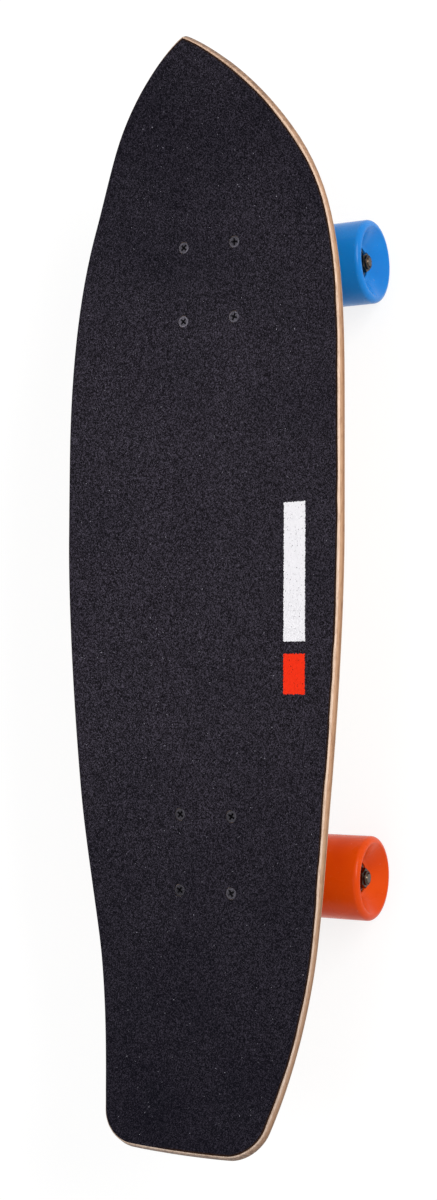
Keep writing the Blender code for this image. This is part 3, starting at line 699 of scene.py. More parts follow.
def bolt_material():
    """Black oxide that has rubbed off to steel where the worn attribute says so. The rubbed steel also grows
    towards the front: painted light, so that the front bolts are painted lighter than the rear ones.
    """
    look = ((20, 19, 22), (9, 9, 11), 0.38, 0.62)
    made, shader, skin = skinned("black_steel", METAL_SKIN, look, Metallic=0.85)
    place = object_place(made.node_tree)
    scratches = noise(place, 1300.0, 3.0, 0.7)
    wear_and_painted_light = between(noise(place, 38.0, 1.0), 0.35, 0.65, 0.5, 1.2)
    # Painted light: the rubbed steel fades towards the rear, so the rear bolts are painted darker
    wear_and_painted_light = times(between(parts_of(place)["X"], -0.1, 0.1, 0.4, 1.0), wear_and_painted_light)
    worn = times(attribute(made.node_tree, "worn"), between(scratches, 0.35, 0.62, 0.1, 1.3))
    colour = blended(times(worn, wear_and_painted_light), skin["Color"], linear(130, 126, 138))
    coat(shader, colour, skin["Roughness"], plus(skin["Height"], scratches), 0.00003)
    return made


# Colours of the seven plies from the top face down, where the edge runs along the fibres and where across
# The top ply's pale cream is partly its own tone and partly a painted highlight where the rounded top edge
# catches the light
LONG_GRAIN = (
    (238, 209, 186), (208, 167, 135), (200, 157, 123), (180, 138, 104), (156, 117, 86), (200, 164, 134),
    (190, 158, 132),
)
END_GRAIN = (
    (232, 200, 174), (190, 155, 128), (180, 146, 119), (173, 140, 114), (182, 149, 123), (172, 141, 116),
    (190, 160, 136),
)
FACE_VENEER = linear(226, 196, 162)
DARK_FIGURE = (0.66, 0.60, 0.54, 1)
DARK_STREAK = (0.66, 0.57, 0.50, 1)
SAW_MARK = (0.50, 0.48, 0.48, 1)
TAIL_PAINTED_SHADE = (0.72, 0.76, 0.82, 1)
NOSE_TIP_DARKENING = (0.70, 0.64, 0.60, 1)


def ply_bands(ply, shades):
    """Stripes of colour with a soft line between them, by a share of the deck's thickness."""
    bands = node(ply.id_data, "ShaderNodeValToRGB", {"Fac": ply})
    ramp = bands.color_ramp
    ramp.interpolation = "LINEAR"
    edges = []
    for k, shade in enumerate(shades):
        edges += [((k + side) / len(shades), linear(*shade)) for side in (0.08, 0.92)]
    while len(ramp.elements) < len(edges):
        ramp.elements.new(0.5)
    for element, (position, colour) in zip(ramp.elements, edges):
        element.position = position
        element.color = colour
    return bands.outputs[0]


def maple_material():
    """Laminated maple: stripes by the ply attribute, which runs from 0 on the top face to 1 underneath."""
    made, tree, shader = new_material("maple", Specular_IOR_Level=0.3)
    place = object_place(tree)
    ply = plus(attribute(tree, "ply"), between(noise(place, 40.0), 0.3, 0.7, -0.008, 0.008))
    facing = parts_of(output(tree, "ShaderNodeTexCoord", which="Normal"))
    across_fibres = between(maths("ABSOLUTE", facing["X"]), 0.2, 0.75)
    light = blended(across_fibres, ply_bands(ply, LONG_GRAIN), ply_bands(ply, END_GRAIN))
    light = blended(between(facing["Z"], -0.7, -0.95), light, FACE_VENEER)
    inputs = {"Place": place, "Light": light, "Dark": blended(1.0, light, DARK_FIGURE, "MULTIPLY")}
    figure = node(tree, "ShaderNodeGroup", inputs, node_tree=WOOD_FIGURE).outputs
    streaks = stretched_noise(place, (110.0, 600.0, 600.0), 3.0, 0.7)
    colour = tinted(between(streaks, 0.5, 0.66, 0.0, 0.8), figure["Color"], DARK_STREAK)
    saw_marks = between(stretched_noise(place, (620.0, 620.0, 40.0), 1.0), 0.42, 0.6)
    colour = tinted(times(saw_marks, across_fibres), colour, SAW_MARK)
    along = parts_of(place)["X"]
    # Painted shade: the wood is painted darker and cooler towards the tail
    colour = tinted(between(along, -0.14, -0.34, 0.0, 0.75), colour, TAIL_PAINTED_SHADE)
    # Towards the nose tip the wood is made darker
    colour = tinted(between(along, 0.34, 0.38, 0.0, 0.8), colour, NOSE_TIP_DARKENING)
    coat(shader, colour, between(figure["Height"], 0.2, 0.8, 0.42, 0.65), figure["Height"], 0.00006)
    return made


# The plain generic print on the grip: stripes as (from x, to x, from y, to y, colour)
PRINT_STRIPES = (
    (-0.0370, 0.0600, -0.0815, -0.0635, linear(253, 251, 255)),
    (-0.0735, -0.0455, -0.0815, -0.0635, linear(254, 54, 26)),
)


def grip_material():
    """Black mineral grit on a film, with a few stripes printed over it."""
    made, tree, shader = new_material("grip_tape", Specular_IOR_Level=0.05)
    place = object_place(tree)
    part = parts_of(place)
    cells = node(tree, "ShaderNodeTexVoronoi", {"Vector": place, "Scale": 1700.0}).outputs
    random = output(tree, "ShaderNodeSeparateColor", {"Color": cells["Color"]}, "Red")
    glint = attribute(tree, "glint")
    grit = plus(times(random, 0.8), times(noise(place, 620.0, 2.0, 0.6), 0.2))
    shade = maths("POWER", between(grit, 0.12, 0.9), 2.2)
    colour = blended(shade, linear(16, 14, 18), linear(77, 72, 84))
    # Painted shade: the grip is painted darker and bluer towards the nose and more towards the tail, for the
    # light falling off towards the ends, with a slow random cloud of tone over it
    ends = plus(between(part["X"], 0.10, 0.30, 0.0, 0.3), between(part["X"], -0.10, -0.30, 0.0, 0.5))
    ends = plus(ends, between(noise(place, 14.0, 3.0), 0.35, 0.7, -0.1, 0.15))
    colour = blended(maths("MAXIMUM", ends, 0.0), colour, linear(6, 7, 18))
    # Painted glints: a few grains are painted bright, for light caught on their facets
    colour = blended(between(glint, 0.955, 0.985, 0.0, 0.9), colour, linear(190, 188, 200))
    # Along the -Y side the rim is painted brown: partly the grip's own cut edge and partly a painted shadow
    # line where the grip meets the wood
    cut_edge_and_shade_line = times(between(attribute(tree, "rim"), 0.15, 0.75), between(part["Y"], 0.02, 0.0))
    colour = blended(cut_edge_and_shade_line, colour, linear(44, 27, 16))
    ragged = between(noise(place, 900.0, 2.0), 0.3, 0.7, -0.0004, 0.0004)
    printed = between(grit, 0.07, 0.13)
    for x_low, x_high, y_low, y_high, paint in PRINT_STRIPES:
        mask = printed
        for axis, low, high in (("X", x_low, x_high), ("Y", y_low, y_high)):
            distance = maths("ABSOLUTE", maths("SUBTRACT", part[axis], (low + high) / 2))
            mask = times(mask, maths("LESS_THAN", plus(distance, ragged), (high - low) / 2))
        colour = blended(mask, colour, paint)
    height = plus(times(cells["Distance"], -0.6), grit)
    coat(shader, colour, between(glint, 0.9, 1.0, 0.95, 0.4), height, 0.00025)
    return made


MAPLE = maple_material()
GRIP = grip_material()
BLACK_STEEL = bolt_material()
zinc_look = ((196, 196, 200), (150, 146, 142), 0.2, 0.42)
ZINC = metal("zinc_steel", *zinc_look)
ZINC_NUT = metal_with_insert("zinc_nut", *zinc_look, insert=(58, 64, 80))
# The axle and the axle nuts are painted darker and browner than the zinc steel of the other fasteners:
# painted shade, for where they sit deep in the wheels' dishes
AXLE_STEEL = metal("axle_steel", (76, 62, 50), (38, 31, 26), 0.14, 0.34)
AXLE_NUT = metal_with_insert("axle_nut", (66, 58, 52), (36, 31, 27), 0.14, 0.34, insert=(24, 24, 28))
bearing_look = ((128, 124, 122), (74, 68, 64), 0.15, 0.35)
BEARING = metal_with_insert("bearing", *bearing_look, insert=(38, 35, 33), insert_metallic=1.0)
CASTING = metal("cast_aluminium", (206, 207, 210), (168, 168, 172), 0.3, 0.55, 1500.0, depth=0.00005)
RISER_RUBBER = moulded("riser_rubber", (34, 34, 36), (26, 26, 28), 0.6, 0.85, depth=0.00004)
CUP_PLASTIC = moulded("cup_plastic", (58, 58, 60), (42, 42, 44), 0.4, 0.6)
BUSHING_URETHANE = moulded("bushing_urethane", (40, 40, 43), (28, 28, 31), 0.35, 0.55)
blue_look = ((4, 126, 209), (3, 112, 192), 0.22, 0.34)
WHEEL_BLUE = moulded("urethane_blue", *blue_look, Specular_IOR_Level=0.22)
orange_look = ((220, 73, 1), (208, 63, 1), 0.22, 0.34)
WHEEL_ORANGE = moulded("urethane_orange", *orange_look, Specular_IOR_Level=0.12)


# Pieces


def piece(name, mesh, finish, replaced=()):
    """A finished piece at the origin, smooth apart from its sharp corners."""
    mesh.materials.clear()
    mesh.materials.append(finish)
    mesh.shade_smooth()
    mesh.set_sharp_from_angle(angle=math.radians(32))
    made = in_scene(name, mesh)
    if replaced:
        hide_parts(*replaced)
    return made


def stand_in(name, mesh, finish):
    """A piece that takes the place of the solid of that name."""
    return piece(f"{name}_form", mesh, finish, [name])


# The deck and its grip


def half_width(s):
    """Half the deck's width at a distance s ahead of the middle between the trucks."""
    if s >= WIDEST_AT:
        u = min(1.0, (s - WIDEST_AT) / (NOSE_REACH - WIDEST_AT))
        return DECK_WIDTH / 2 * max(0.0, 1 - u**NOSE_FULLNESS) ** (1 / NOSE_BLUNTNESS)
    u = (WIDEST_AT - s) / (WIDEST_AT + TAIL_REACH)
    return DECK_WIDTH / 2 - SIDE_TAPER * u**SIDE_TAPER_POWER - TAIL_PINCH * u**TAIL_PINCH_POWER


def inset_width(s, inset, steps=24):
    """Half the width of the outline drawn in by an inset, square to itself."""
    if not inset:
        return half_width(s)
    turns = [math.pi * (k / steps - 0.5) for k in range(steps + 1)]
    return min(half_width(s + inset * math.sin(turn)) - inset * math.cos(turn) for turn in turns)


def side_outline(inset, nose_rows=44, body_rows=84, corner_rows=12):
    """The left side's (s, v) points from the nose tip to the end of the tail's corner, with an inset."""
    low, high = NOSE_REACH - 0.01, NOSE_REACH
    for _ in range(30):
        middle = (low + high) / 2
        low, high = (middle, high) if inset_width(middle, inset) > 0 else (low, middle)
    tip = low
    points = [(tip, 0.0)]
    for k in range(1, nose_rows):
        s = WIDEST_AT + (tip - WIDEST_AT) * math.sin(math.pi / 2 * (1 - k / nose_rows))
        points.append((s, inset_width(s, inset)))
    corner_start = TAIL_CORNER_RADIUS - TAIL_REACH
    for k in range(body_rows + 1):
        s = WIDEST_AT + (corner_start - WIDEST_AT) * k / body_rows
        points.append((s, inset_width(s, inset)))
    edge = half_width(corner_start) - inset
    slope = (half_width(corner_start + 0.001) - half_width(corner_start)) / 0.001
    radius = TAIL_CORNER_RADIUS - inset
    for k in range(1, corner_rows + 1):
        turn = math.pi / 2 * k / corner_rows
        back = radius * math.sin(turn)
        points.append((corner_start - back, edge - slope * back - radius * (1 - math.cos(turn))))
    return points


def centre_line(s):
    """x, z and slope of the centre line at a distance s along it."""
    ahead = s > 0
    start = NOSE_BEND_START if ahead else TAIL_BEND_START
    radius = NOSE_BEND_RADIUS if ahead else TAIL_BEND_RADIUS
    longest_arc = NOSE_BEND_RADIUS * NOSE_BEND_ANGLE if ahead else TAIL_REACH
    beyond = abs(s) - start
    if beyond <= 0:
        return s, 0.0, 0.0
    arc = min(beyond, longest_arc)
    turn = arc / radius
    x = start + radius * math.sin(turn) + (beyond - arc) * math.cos(turn)
    z = radius * (1 - math.cos(turn)) + (beyond - arc) * math.sin(turn)
    return (x, z, turn) if ahead else (-x, z, -turn)


def share_of(value, low, high):
    """How far a value is from one end of a range to the other, from 0 to 1."""
    return min(1.0, max(0.0, (value - low) / (high - low)))


def concave(s, v):
    """The rise of the top face above the centre line, and its slope across the board."""
    fade = share_of(abs(s), *(NOSE_CONCAVE_FADE if s > 0 else TAIL_CONCAVE_FADE))
    fade = fade * fade * (3 - 2 * fade)
    depth = CONCAVE_RISE * (1 - fade) + CONCAVE_RISE_AT_ENDS * fade
    reach = (DECK_WIDTH - FLAT_STRIP_WIDTH) / 2
    over = max(0.0, abs(v) - FLAT_STRIP_WIDTH / 2) / reach
    slope = depth * CONCAVE_POWER * over ** (CONCAVE_POWER - 1) / reach
    return depth * over**CONCAVE_POWER, math.copysign(math.atan(slope), v)


def on_deck(s, v, depth):
    """The point at (s, v) on the deck, a depth below its top face."""
    x, z, turn = centre_line(s)
    rise, lean = concave(s, v)
    up = rise - depth * math.cos(lean)
    along = x - math.sin(turn) * up
    return Vector((DECK_MIDDLE + along, v + depth * math.sin(lean), DECK_TOP + z + math.cos(turn) * up))


def face_rows(inset, columns):
    """Rows of (s, v) across a face. The first is the nose tip alone, and the last follows the tail's bow."""
    outline = side_outline(inset)
    even = [2 * k / columns - 1 for k in range(columns + 1)]
    shares = [0.5 * math.sin(math.pi / 2 * share) + 0.5 * share for share in even]
    rows = [[outline[0]]]
    rows += [[(s, share * edge) for share in shares] for s, edge in outline[1:]]
    tail_edge = outline[-1][1]
    rows[-1] = [(s - TAIL_BOW * (1 - (v / tail_edge) ** 2), v) for s, v in rows[-1]]
    return rows


def border(rows):
    """The points round the edge of a face's rows."""
    left = [row[-1] for row in rows[1:]]
    right = [row[0] for row in rows[1:]]
    return [rows[0][0], *left, *reversed(rows[-1][1:-1]), *reversed(right)]


def pressed_sheet(layers, name, rule, columns=30):
    """A closed sheet with the deck's form. Its (inset, depth) layers go from the top face round the edge, and
    each vertex gets a named number by the rule, from its layer's number and depth."""
    shape = bmesh.new()
    value = shape.verts.layers.float.new(name)
    loops = []
    for number, (inset, depth) in enumerate(layers):

        def vertex(place):
            made = shape.verts.new(on_deck(*place, depth))
            made[value] = rule(number, depth)
            return made

        rows = face_rows(inset, columns)
        found = {}
        if number in (0, len(layers) - 1):
            grid = [[vertex(place) for place in row] for row in rows]
            found = {place: made for row, line in zip(rows, grid) for place, made in zip(row, line)}
            for one, other in zip(grid[1], grid[1][1:]):
                shape.faces.new((grid[0][0], one, other))
            for near, far in zip(grid[1:], grid[2:]):
                for k in range(columns):
                    shape.faces.new((near[k], near[k + 1], far[k + 1], far[k]))
        loops.append([found.get(place) or vertex(place) for place in border(rows)])
    for one, other in zip(loops, loops[1:]):
        bridge(shape, one, other)
    return mesh_of("sheet", shape)


def edge_arc(radius, steps):
    """(inset, depth) layers round an upper edge, from the face outwards."""
    turns = [math.pi / 2 * k / steps for k in range(steps + 1)]
    return [(radius * (1 - math.sin(turn)), radius * (1 - math.cos(turn))) for turn in turns]


def bolt_tools(radius, low, high):
    return [twin(rod(radius, low, high, 40), shift(x, y)) for x, y in bolt_places]


def make_deck():
    side = DECK_THICKNESS - TOP_EDGE_ROUND - BOTTOM_EDGE_ROUND
    layers = edge_arc(TOP_EDGE_ROUND, 4)
    layers += [(0.0, TOP_EDGE_ROUND + side * k / 5) for k in range(1, 5)]
    layers += [(inset, DECK_THICKNESS - drop) for inset, drop in reversed(edge_arc(BOTTOM_EDGE_ROUND, 5))]
    mesh = pressed_sheet(layers, "ply", lambda number, depth: depth / DECK_THICKNESS)
    mesh = cut(mesh, *bolt_tools(DECK_HOLE_RADIUS, DECK_TOP - 0.02, DECK_TOP + 0.01))
    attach(piece("deck_laminate", mesh, MAPLE, ["deck"]), "deck")


# The grip laps over the deck's rounded edge on the left, and elsewhere it is trimmed by hand within the edge
GRIP_LAP = 0.0006
GRIP_LAP_DROP = 0.00025
TRIM_WAVES = 45.0
TRIM_DEPTH = 0.0009


def grip_lap(place):
    """How far the grip laps over the deck's edge: fully along the left, and not round the two tips."""
    along = share_of(place.x, -0.375, -0.355) * share_of(place.x, 0.388, 0.375)
    return share_of(place.y, 0.0, 0.02) * along


def outward(place, reach=0.0005):
    """The way out of the deck's outline, square to its edge, on the left."""
    ahead = place.x - DECK_MIDDLE
    slope = (half_width(ahead + reach) - half_width(ahead - reach)) / (2 * reach)
    return Vector((-slope, 1.0, 0.0)).normalized()


def make_grip():
    top = -GRIP_GAP - GRIP_THICKNESS
    layers = [(0.0022, top), (0.0016, top + 0.0001), (TOP_EDGE_ROUND + 0.0001, top + 0.0004)]
    layers += [(TOP_EDGE_ROUND, top + 0.0006), (TOP_EDGE_ROUND, -0.00005)]
    mesh = pressed_sheet(layers, "rim", lambda number, depth: min(1.0, number / 2), 40)
    for vertex, rim in zip(mesh.vertices, mesh.attributes["rim"].data):
        if rim.value > 0.1:
            side = math.copysign(1.0, vertex.co.y)
            lap = grip_lap(vertex.co)
            wave = waver(Vector((vertex.co.x * TRIM_WAVES, 3.0 * side, 0.5)))
            vertex.co.y -= side * TRIM_DEPTH * (1 - lap) * max(0.0, min(0.5, wave * 1.6))
            if lap:
                vertex.co += rim.value * lap * (GRIP_LAP * outward(vertex.co) - Vector((0, 0, GRIP_LAP_DROP)))
    mesh = cut(mesh, *bolt_tools(GRIP_HOLE_RADIUS, DECK_TOP - 0.01, DECK_TOP + 0.01))
    mesh = grown(mesh, GRIT, density=170000.0, grain_size=0.00042, seed=11, material=GRIP)
    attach(piece("grip_sheet", mesh, GRIP, ["grip_tape"]), "deck")


make_deck()
make_grip()


# Deck bolts and their lock nuts

FLIP = Matrix.Rotation(math.pi, 4, "X")


def cross_recess(width, slot, depth, taper=0.5):
    """A tapered cross with a hollow cone in its middle, to cut a recess down from z = 0."""
    corners = [Vector(corner) for corner in ((width, slot), (slot, slot), (slot, width))]
    quarters = [Matrix.Rotation(quarter * math.pi / 2, 2) for quarter in range(4)]
    cross = [turn @ corner for turn in quarters for corner in corners]
    ends = ((1 - taper, -depth), (1 + taper, depth))
    arms = stacked([[(*(size * point), z) for point in cross] for size, z in ends])
    middle = slot * 1.6
    return arms, solid([(0, -depth * 1.35), (middle, 0.0), (middle, depth), (0, depth)], 24)


def on_pattern(kind, fastener, height, finish, largest_turn, seed):
    """A fastener at each of the eight bolt places, turned at random."""
    holder = in_scene("holder", fastener)
    points = mesh_from("points", [(x, y, height) for x, y in bolt_places])
    mesh = grown(points, PATTERN, fastener=holder, largest_turn=largest_turn, seed=seed, material=finish)
    bpy.data.objects.remove(holder)
    names = [f"{end}_{kind}_{k}" for end in ("front", "rear") for k in range(1, 5)]
    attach(piece(f"{kind}s", mesh, finish, names), "deck")


def make_bolts():
    low = LOCK_NUT_Z - LOCK_NUT_HEIGHT - END_PAST_NUT - BOLT_HEAD_Z
    thread_top = low + 0.009
    head = BOLT_HEAD_RADIUS
    section = [(0, low), (BOLT_RADIUS - 0.0005, low)]
    section += thread_rows(BOLT_RADIUS, low + 0.0004, thread_top, BOLT_PITCH)
    section += [(BOLT_RADIUS, -0.0027), (head, -0.0004), (head, -0.0002), (head - 0.0002, 0.0)]
    section += [(head - 0.0006, 0.00006), (head - 0.0011, 0.00008), (head - 0.0016, 0.0001), (0, 0.0001)]
    bolt = threaded(solid(section, 36), low, thread_top, BOLT_PITCH, 0.0004)
    bolt = cut(bolt, *cross_recess(0.0027, 0.00072, 0.0022))

    def worn(place):
        if place.z < -0.0003:
            return 0.0
        return 0.65 if head - 0.0011 < from_axis(place) < head - 0.0001 else 0.42

    bolt = marked(bolt, "worn", worn)
    on_pattern("deck_bolt", bolt, BOLT_HEAD_Z, BLACK_STEEL, largest_turn=1.57, seed=5)


def hex_nut(across_flats, height, hole, pitch):
    """A hexagon lock nut that stands on z = 0, with a nylon ring rolled into its top."""
    corner = across_flats / math.sqrt(3)
    edge = across_flats / 2 * 0.97
    collar = height * 0.75
    drop = (corner - edge) * 0.55
    outside = corner + 0.0001
    limit = [(0, 0), (edge, 0, 0.0002), (outside, drop), (outside, collar - drop), (edge, collar, 0.0002)]
    limit += [(edge * 0.86, collar), (edge * 0.84, height, edge * 0.1), (edge * 0.68, height, edge * 0.03)]
    limit += [(edge * 0.66, height - 0.0004), (0, height - 0.0004)]
    nut = combined(prism(circle(corner, 6), 0.0, height), [solid(limit, 60)], "INTERSECT")
    bore = [(0, -0.001), (hole, -0.001), *thread_rows(hole, 0.0, height, pitch)]
    bore = solid([*bore, (hole, height + 0.001), (0, height + 0.001)], 40)
    nut = cut(nut, threaded(bore, 0.0, height, pitch, 0.0002))
    return marked(nut, "insert", lambda place: float(from_axis(place) < edge * 0.67 and place.z > collar))


make_bolts()
lock_nut = placed(hex_nut(LOCK_NUT_FLATS, LOCK_NUT_HEIGHT, 0.0027, BOLT_PITCH), FLIP)
on_pattern("lock_nut", lock_nut, LOCK_NUT_Z, ZINC_NUT, largest_turn=6.0, seed=3)


# The trucks

ACROSS = Vector((0, 1, 0))
UP = Vector((0, 0, 1))
kingpin_up = Vector((math.sin(KINGPIN_TILT), 0, math.cos(KINGPIN_TILT)))
stub_up = Vector((math.cos(STUB_ANGLE), 0, math.sin(STUB_ANGLE)))
axle_centre = Vector((AXLE_OUTBOARD, 0, -TRUCK_HEIGHT))
yoke_drop = TRUCK_HEIGHT - YOKE_TO_AXLE * math.sin(KINGPIN_TILT)
yoke_centre = Vector((AXLE_OUTBOARD - YOKE_TO_AXLE * math.cos(KINGPIN_TILT), 0, -yoke_drop))
pivot_centre = Vector((0.0285, 0, -0.013))
board_washer_at = BUSHING_SEAT + BOARD_BUSHING_HEIGHT + GAP
baseplate_seat_at = board_washer_at + CUP_WASHER_THICKNESS + GAP
road_washer_at = BUSHING_SEAT + ROAD_BUSHING_HEIGHT + GAP
kingpin_nut_at = road_washer_at + CUP_WASHER_THICKNESS + GAP
kingpin_head_top = (yoke_drop - 0.0046) / math.cos(KINGPIN_TILT)
at_kingpin = Matrix.Translation(yoke_centre) @ towards(kingpin_up)
at_pivot = Matrix.Translation(pivot_centre) @ towards(stub_up)
at_axle = Matrix.Translation(axle_centre)


def along_y(mesh, outward=1):
    """Lays a mesh made about Z along Y, with its top on the outward side."""
    return placed(mesh, Matrix(((1, 0, 0, 0), (0, 0, outward, 0), (0, -outward, 0, 0), (0, 0, 0, 1))))


def plate_outline():
    quarters = ((1, 1), (-1, 1), (-1, -1), (1, -1))
    corners = [(sx * PLATE_HALF_LENGTH, sy * PLATE_HALF_WIDTH, PLATE_CORNER) for sx, sy in quarters]
    return rounded(corners, steps=8)


def plate_holes(low, high):
    return merged(*[twin(rod(PLATE_HOLE_RADIUS, low, high, 32), shift(x, y)) for x, y in pattern_places])


def cast(*bodies):
    """One sand-cast body of several that overlap, with its edges and inner corners melted round."""
    holder = in_scene("holder", merged(*bodies))
    join = holder.modifiers.new("join", "REMESH")
    join.mode = "VOXEL"
    join.voxel_size = 0.0008
    melt = holder.modifiers.new("melt", "SMOOTH")
    melt.factor = 0.5
    melt.iterations = 8
    return settled(holder)


def baseplate():
    """The cast baseplate: plate, kingpin boss, pivot socket and the rib between them."""
    inside = -BASEPLATE_THICKNESS / 2
    seat = yoke_centre + baseplate_seat_at * kingpin_up
    mouth = pivot_centre - 0.0038 * stub_up
    boss = disc(seat - 0.0008 * kingpin_up, kingpin_up, 0.0131)
    boss += disc(Vector((seat.x + 0.003, 0, inside)), UP, 0.0165)
    pivot_boss = disc(mouth, stub_up, 0.0105) + disc(pivot_centre, stub_up, 0.0105)
    pivot_boss += disc(Vector((pivot_centre.x, 0, inside)), UP, 0.0096)
    rib = [Vector((end.x, y, z)) for y in (-0.0026, 0.0026) for end in (seat, mouth) for z in (inside, end.z)]
    plate = prism(plate_outline(), -BASEPLATE_THICKNESS, 0.002)
    mesh = cast(plate, hull(boss), hull(pivot_boss), hull(rib))
    above = prism([(-0.1, -0.1), (0.1, -0.1), (0.1, 0.1), (-0.1, 0.1)], 0.0, 0.02)
    seat_face = rod(0.0155, baseplate_seat_at - 0.008, baseplate_seat_at)
    recess_floor = kingpin_head_top - 0.0057
    shank, head = 0.00495, 0.0081
    hole = [(0, 0), (shank, 0), (shank, recess_floor), (head, recess_floor), (head, 0.07), (0, 0.07)]
    hollow = [(0, -0.024), (0.0090, -0.0075), (0.0075, -0.0035), (0.0075, 0.0040), (0.0045, 0.0075)]
    hollow = placed(solid([*hollow, (0, 0.0075)]), at_pivot)
    kingpin_room = [placed(form, at_kingpin) for form in (seat_face, solid(hole))]
    return cut(mesh, above, *kingpin_room, hollow, plate_holes(-0.008, 0.01))


def riser():
    """The rubber pad, with a small round along its edges."""
    low, high = GAP, GAP + RISER_THICKNESS
    rims = [(0.0005, low), (0.00015, low + 0.00015), (0.0, low + 0.0005)]
    rims += [(inset, low + high - z) for inset, z in reversed(rims)]
    outline = plate_outline()
    loops = [
        [(x * (1 - inset / PLATE_HALF_LENGTH), y * (1 - inset / PLATE_HALF_WIDTH), z) for x, y in outline]
        for inset, z in rims
    ]
    return cut(stacked(loops), plate_holes(-0.002, 0.009))


def kingpin():
    """The kingpin about Z, with the yoke's centre at z = 0: a six-sided head and a thread at its tip."""
    head_bottom = kingpin_head_top - 0.0055
    tip = -kingpin_nut_at - KINGPIN_NUT_HEIGHT - END_PAST_NUT
    section = [(0, tip), (KINGPIN_RADIUS - 0.0010, tip)]
    section += thread_rows(KINGPIN_RADIUS, tip + 0.0010, tip + 0.012, COARSE_PITCH)
    section += [(KINGPIN_RADIUS, head_bottom + 0.001), (0, head_bottom + 0.001)]
    shank = threaded(solid(section, 40), tip, tip + 0.0121, COARSE_PITCH, 0.0005)
    blank = prism(circle(0.0078, 6), head_bottom, kingpin_head_top)
    limit = [(0, head_bottom), (0.0079, head_bottom), (0.0079, kingpin_head_top - 0.0007)]
    limit += [(0.0067, kingpin_head_top), (0, kingpin_head_top)]
    return combined(shank, [combined(blank, [solid(limit, 60)], "INTERSECT")], "UNION")


def bushing(height, far_radius, rows=8):
    """A poured urethane bushing about Z that stands on z = 0, with a slight barrel to its wall."""
    wall = []
    for share in (k / rows for k in range(rows + 1)):
        radius = BUSHING_RADIUS + (far_radius - BUSHING_RADIUS) * share + 0.0006 * math.sin(math.pi * share)
        wall.append((radius, height * (0.06 + 0.88 * share)))
    section = [(KINGPIN_HOLE, 0, 0.0004), (BUSHING_RADIUS - 0.0008, 0, 0.0004), *wall]
    return turned([*section, (far_radius - 0.0008, height, 0.0004), (KINGPIN_HOLE, height, 0.0004)])


def cup_washer(radius):
    """A pressed cup washer about Z, with its base on z = 0 and its lip reaching down."""
    hole, inner = KINGPIN_HOLE, radius + 0.0003
    outer, top, lip = inner + 0.0010, CUP_WASHER_THICKNESS, -0.0012
    section = [(hole, top, 0.0003), (outer, top, 0.0011), (outer, lip, 0.0003)]
    return turned([*section, (inner, lip, 0.0002), (inner, 0.0, 0.0002), (hole, 0.0, 0.0002)])


def pivot_cup():
    inner, outer = 0.0054, 0.0073
    section = [(0, 0.0050), (0.45 * inner, 0.89 * inner), (0.87 * inner, 0.5 * inner), (inner, 0.0)]
    section += [(inner + 0.0008, -0.0045, 0.0004), (outer, -0.0045, 0.0005), (outer, 0.0040, 0.0008)]
    return solid([*section, (0.6 * outer, outer, 0.0008), (0, outer)])


def hanger():
    """The cast hanger: axle bar, yoke round the kingpin, wings, gusset and pivot."""
    end, half_ring = HANGER_HALF_WIDTH, 0.0046
    bar = [(0, -end - 0.0006), (0.0082, -end - 0.0006), (0.0085, -0.050), (0.0092, -0.035), (0.0098, 0)]
    bar = placed(along_y(solid(bar + flipped(bar[:-1]))), at_axle)
    yoke = placed(rod(0.0167, -half_ring, half_ring), at_kingpin)
    web, gusset = [], disc(pivot_centre - STUB_LENGTH * stub_up, stub_up, 0.0071)
    inboard = (yoke_centre - axle_centre).normalized()
    gusset += disc(axle_centre + 0.0127 * inboard + 0.0032 * kingpin_up, kingpin_up, 0.0050)
    for side in (1, -1):
        web += disc(yoke_centre + side * 0.0032 * kingpin_up, kingpin_up, 0.0150)
        web += disc(axle_centre + side * 0.035 * ACROSS, ACROSS, 0.0059)
        gusset += disc(axle_centre + side * 0.014 * ACROSS, ACROSS, 0.0066)
    stub = [(0, -0.0255), (0.0071, -0.0255), (0.0051, -0.0084), (0.0051, 0.0)]
    stub += [(0.0044, 0.00255), (0.0023, 0.0045), (0, 0.0049)]
    mesh = cast(bar, hull(web), yoke, hull(gusset), placed(solid(stub), at_pivot))
    ends = merged(*[placed(along_y(rod(0.02, end, end + 0.01), side), at_axle) for side in (1, -1)])
    seat, floor_at = BUSHING_RADIUS + 0.0003, 0.0030
    bore = [(0, -0.02), (seat, -0.02), (seat, -floor_at), (0.0080, -floor_at)]
    bore = placed(solid(bore + flipped(bore)), at_kingpin)
    axle_bore = placed(along_y(rod(AXLE_RADIUS + GAP, -0.08, 0.08)), at_axle)
    return cut(mesh, ends, bore, axle_bore)


def speed_washer():
    """A thin steel washer about Z that stands on z = 0."""
    hole, thick = AXLE_RADIUS + GAP, SPEED_WASHER_THICKNESS
    return turned([(hole, 0), (0.0063, 0, 0.0002), (0.0063, thick, 0.0002), (hole, thick)], 48)


def axle():
    """The axle along Y, with a thread at both ends."""
    end = AXLE_NUT_AT + 0.0076
    half = thread_rows(AXLE_RADIUS, end - 0.0088, end - 0.0006, COARSE_PITCH)
    half += [(AXLE_RADIUS - 0.0007, end), (0, end)]
    mesh = solid(flipped(half) + half, 40)
    for low, high in ((end - 0.0089, end), (-end, 0.0089 - end)):
        threaded(mesh, low, high, COARSE_PITCH, 0.0004)
    return along_y(mesh)


def wheel():
    """A poured wheel about Y: a round lip, a dished face and a seat for a bearing on each side."""
    face, crest = WHEEL_WIDTH / 2, WHEEL_RADIUS - WHEEL_EDGE_ROUND - 0.0006
    half = [(WHEEL_RADIUS, face, WHEEL_EDGE_ROUND), (crest, face, 0.0012)]
    half += [(0.0136, 0.0138, 0.0012), (0.0122, 0.0130, 0.0004)]
    half += [(0.0112, 0.0130, 0.0003), (0.0112, 0.0048), (0.0085, 0.0048)]
    return along_y(turned(half + flipped(half), 96, steps=6))


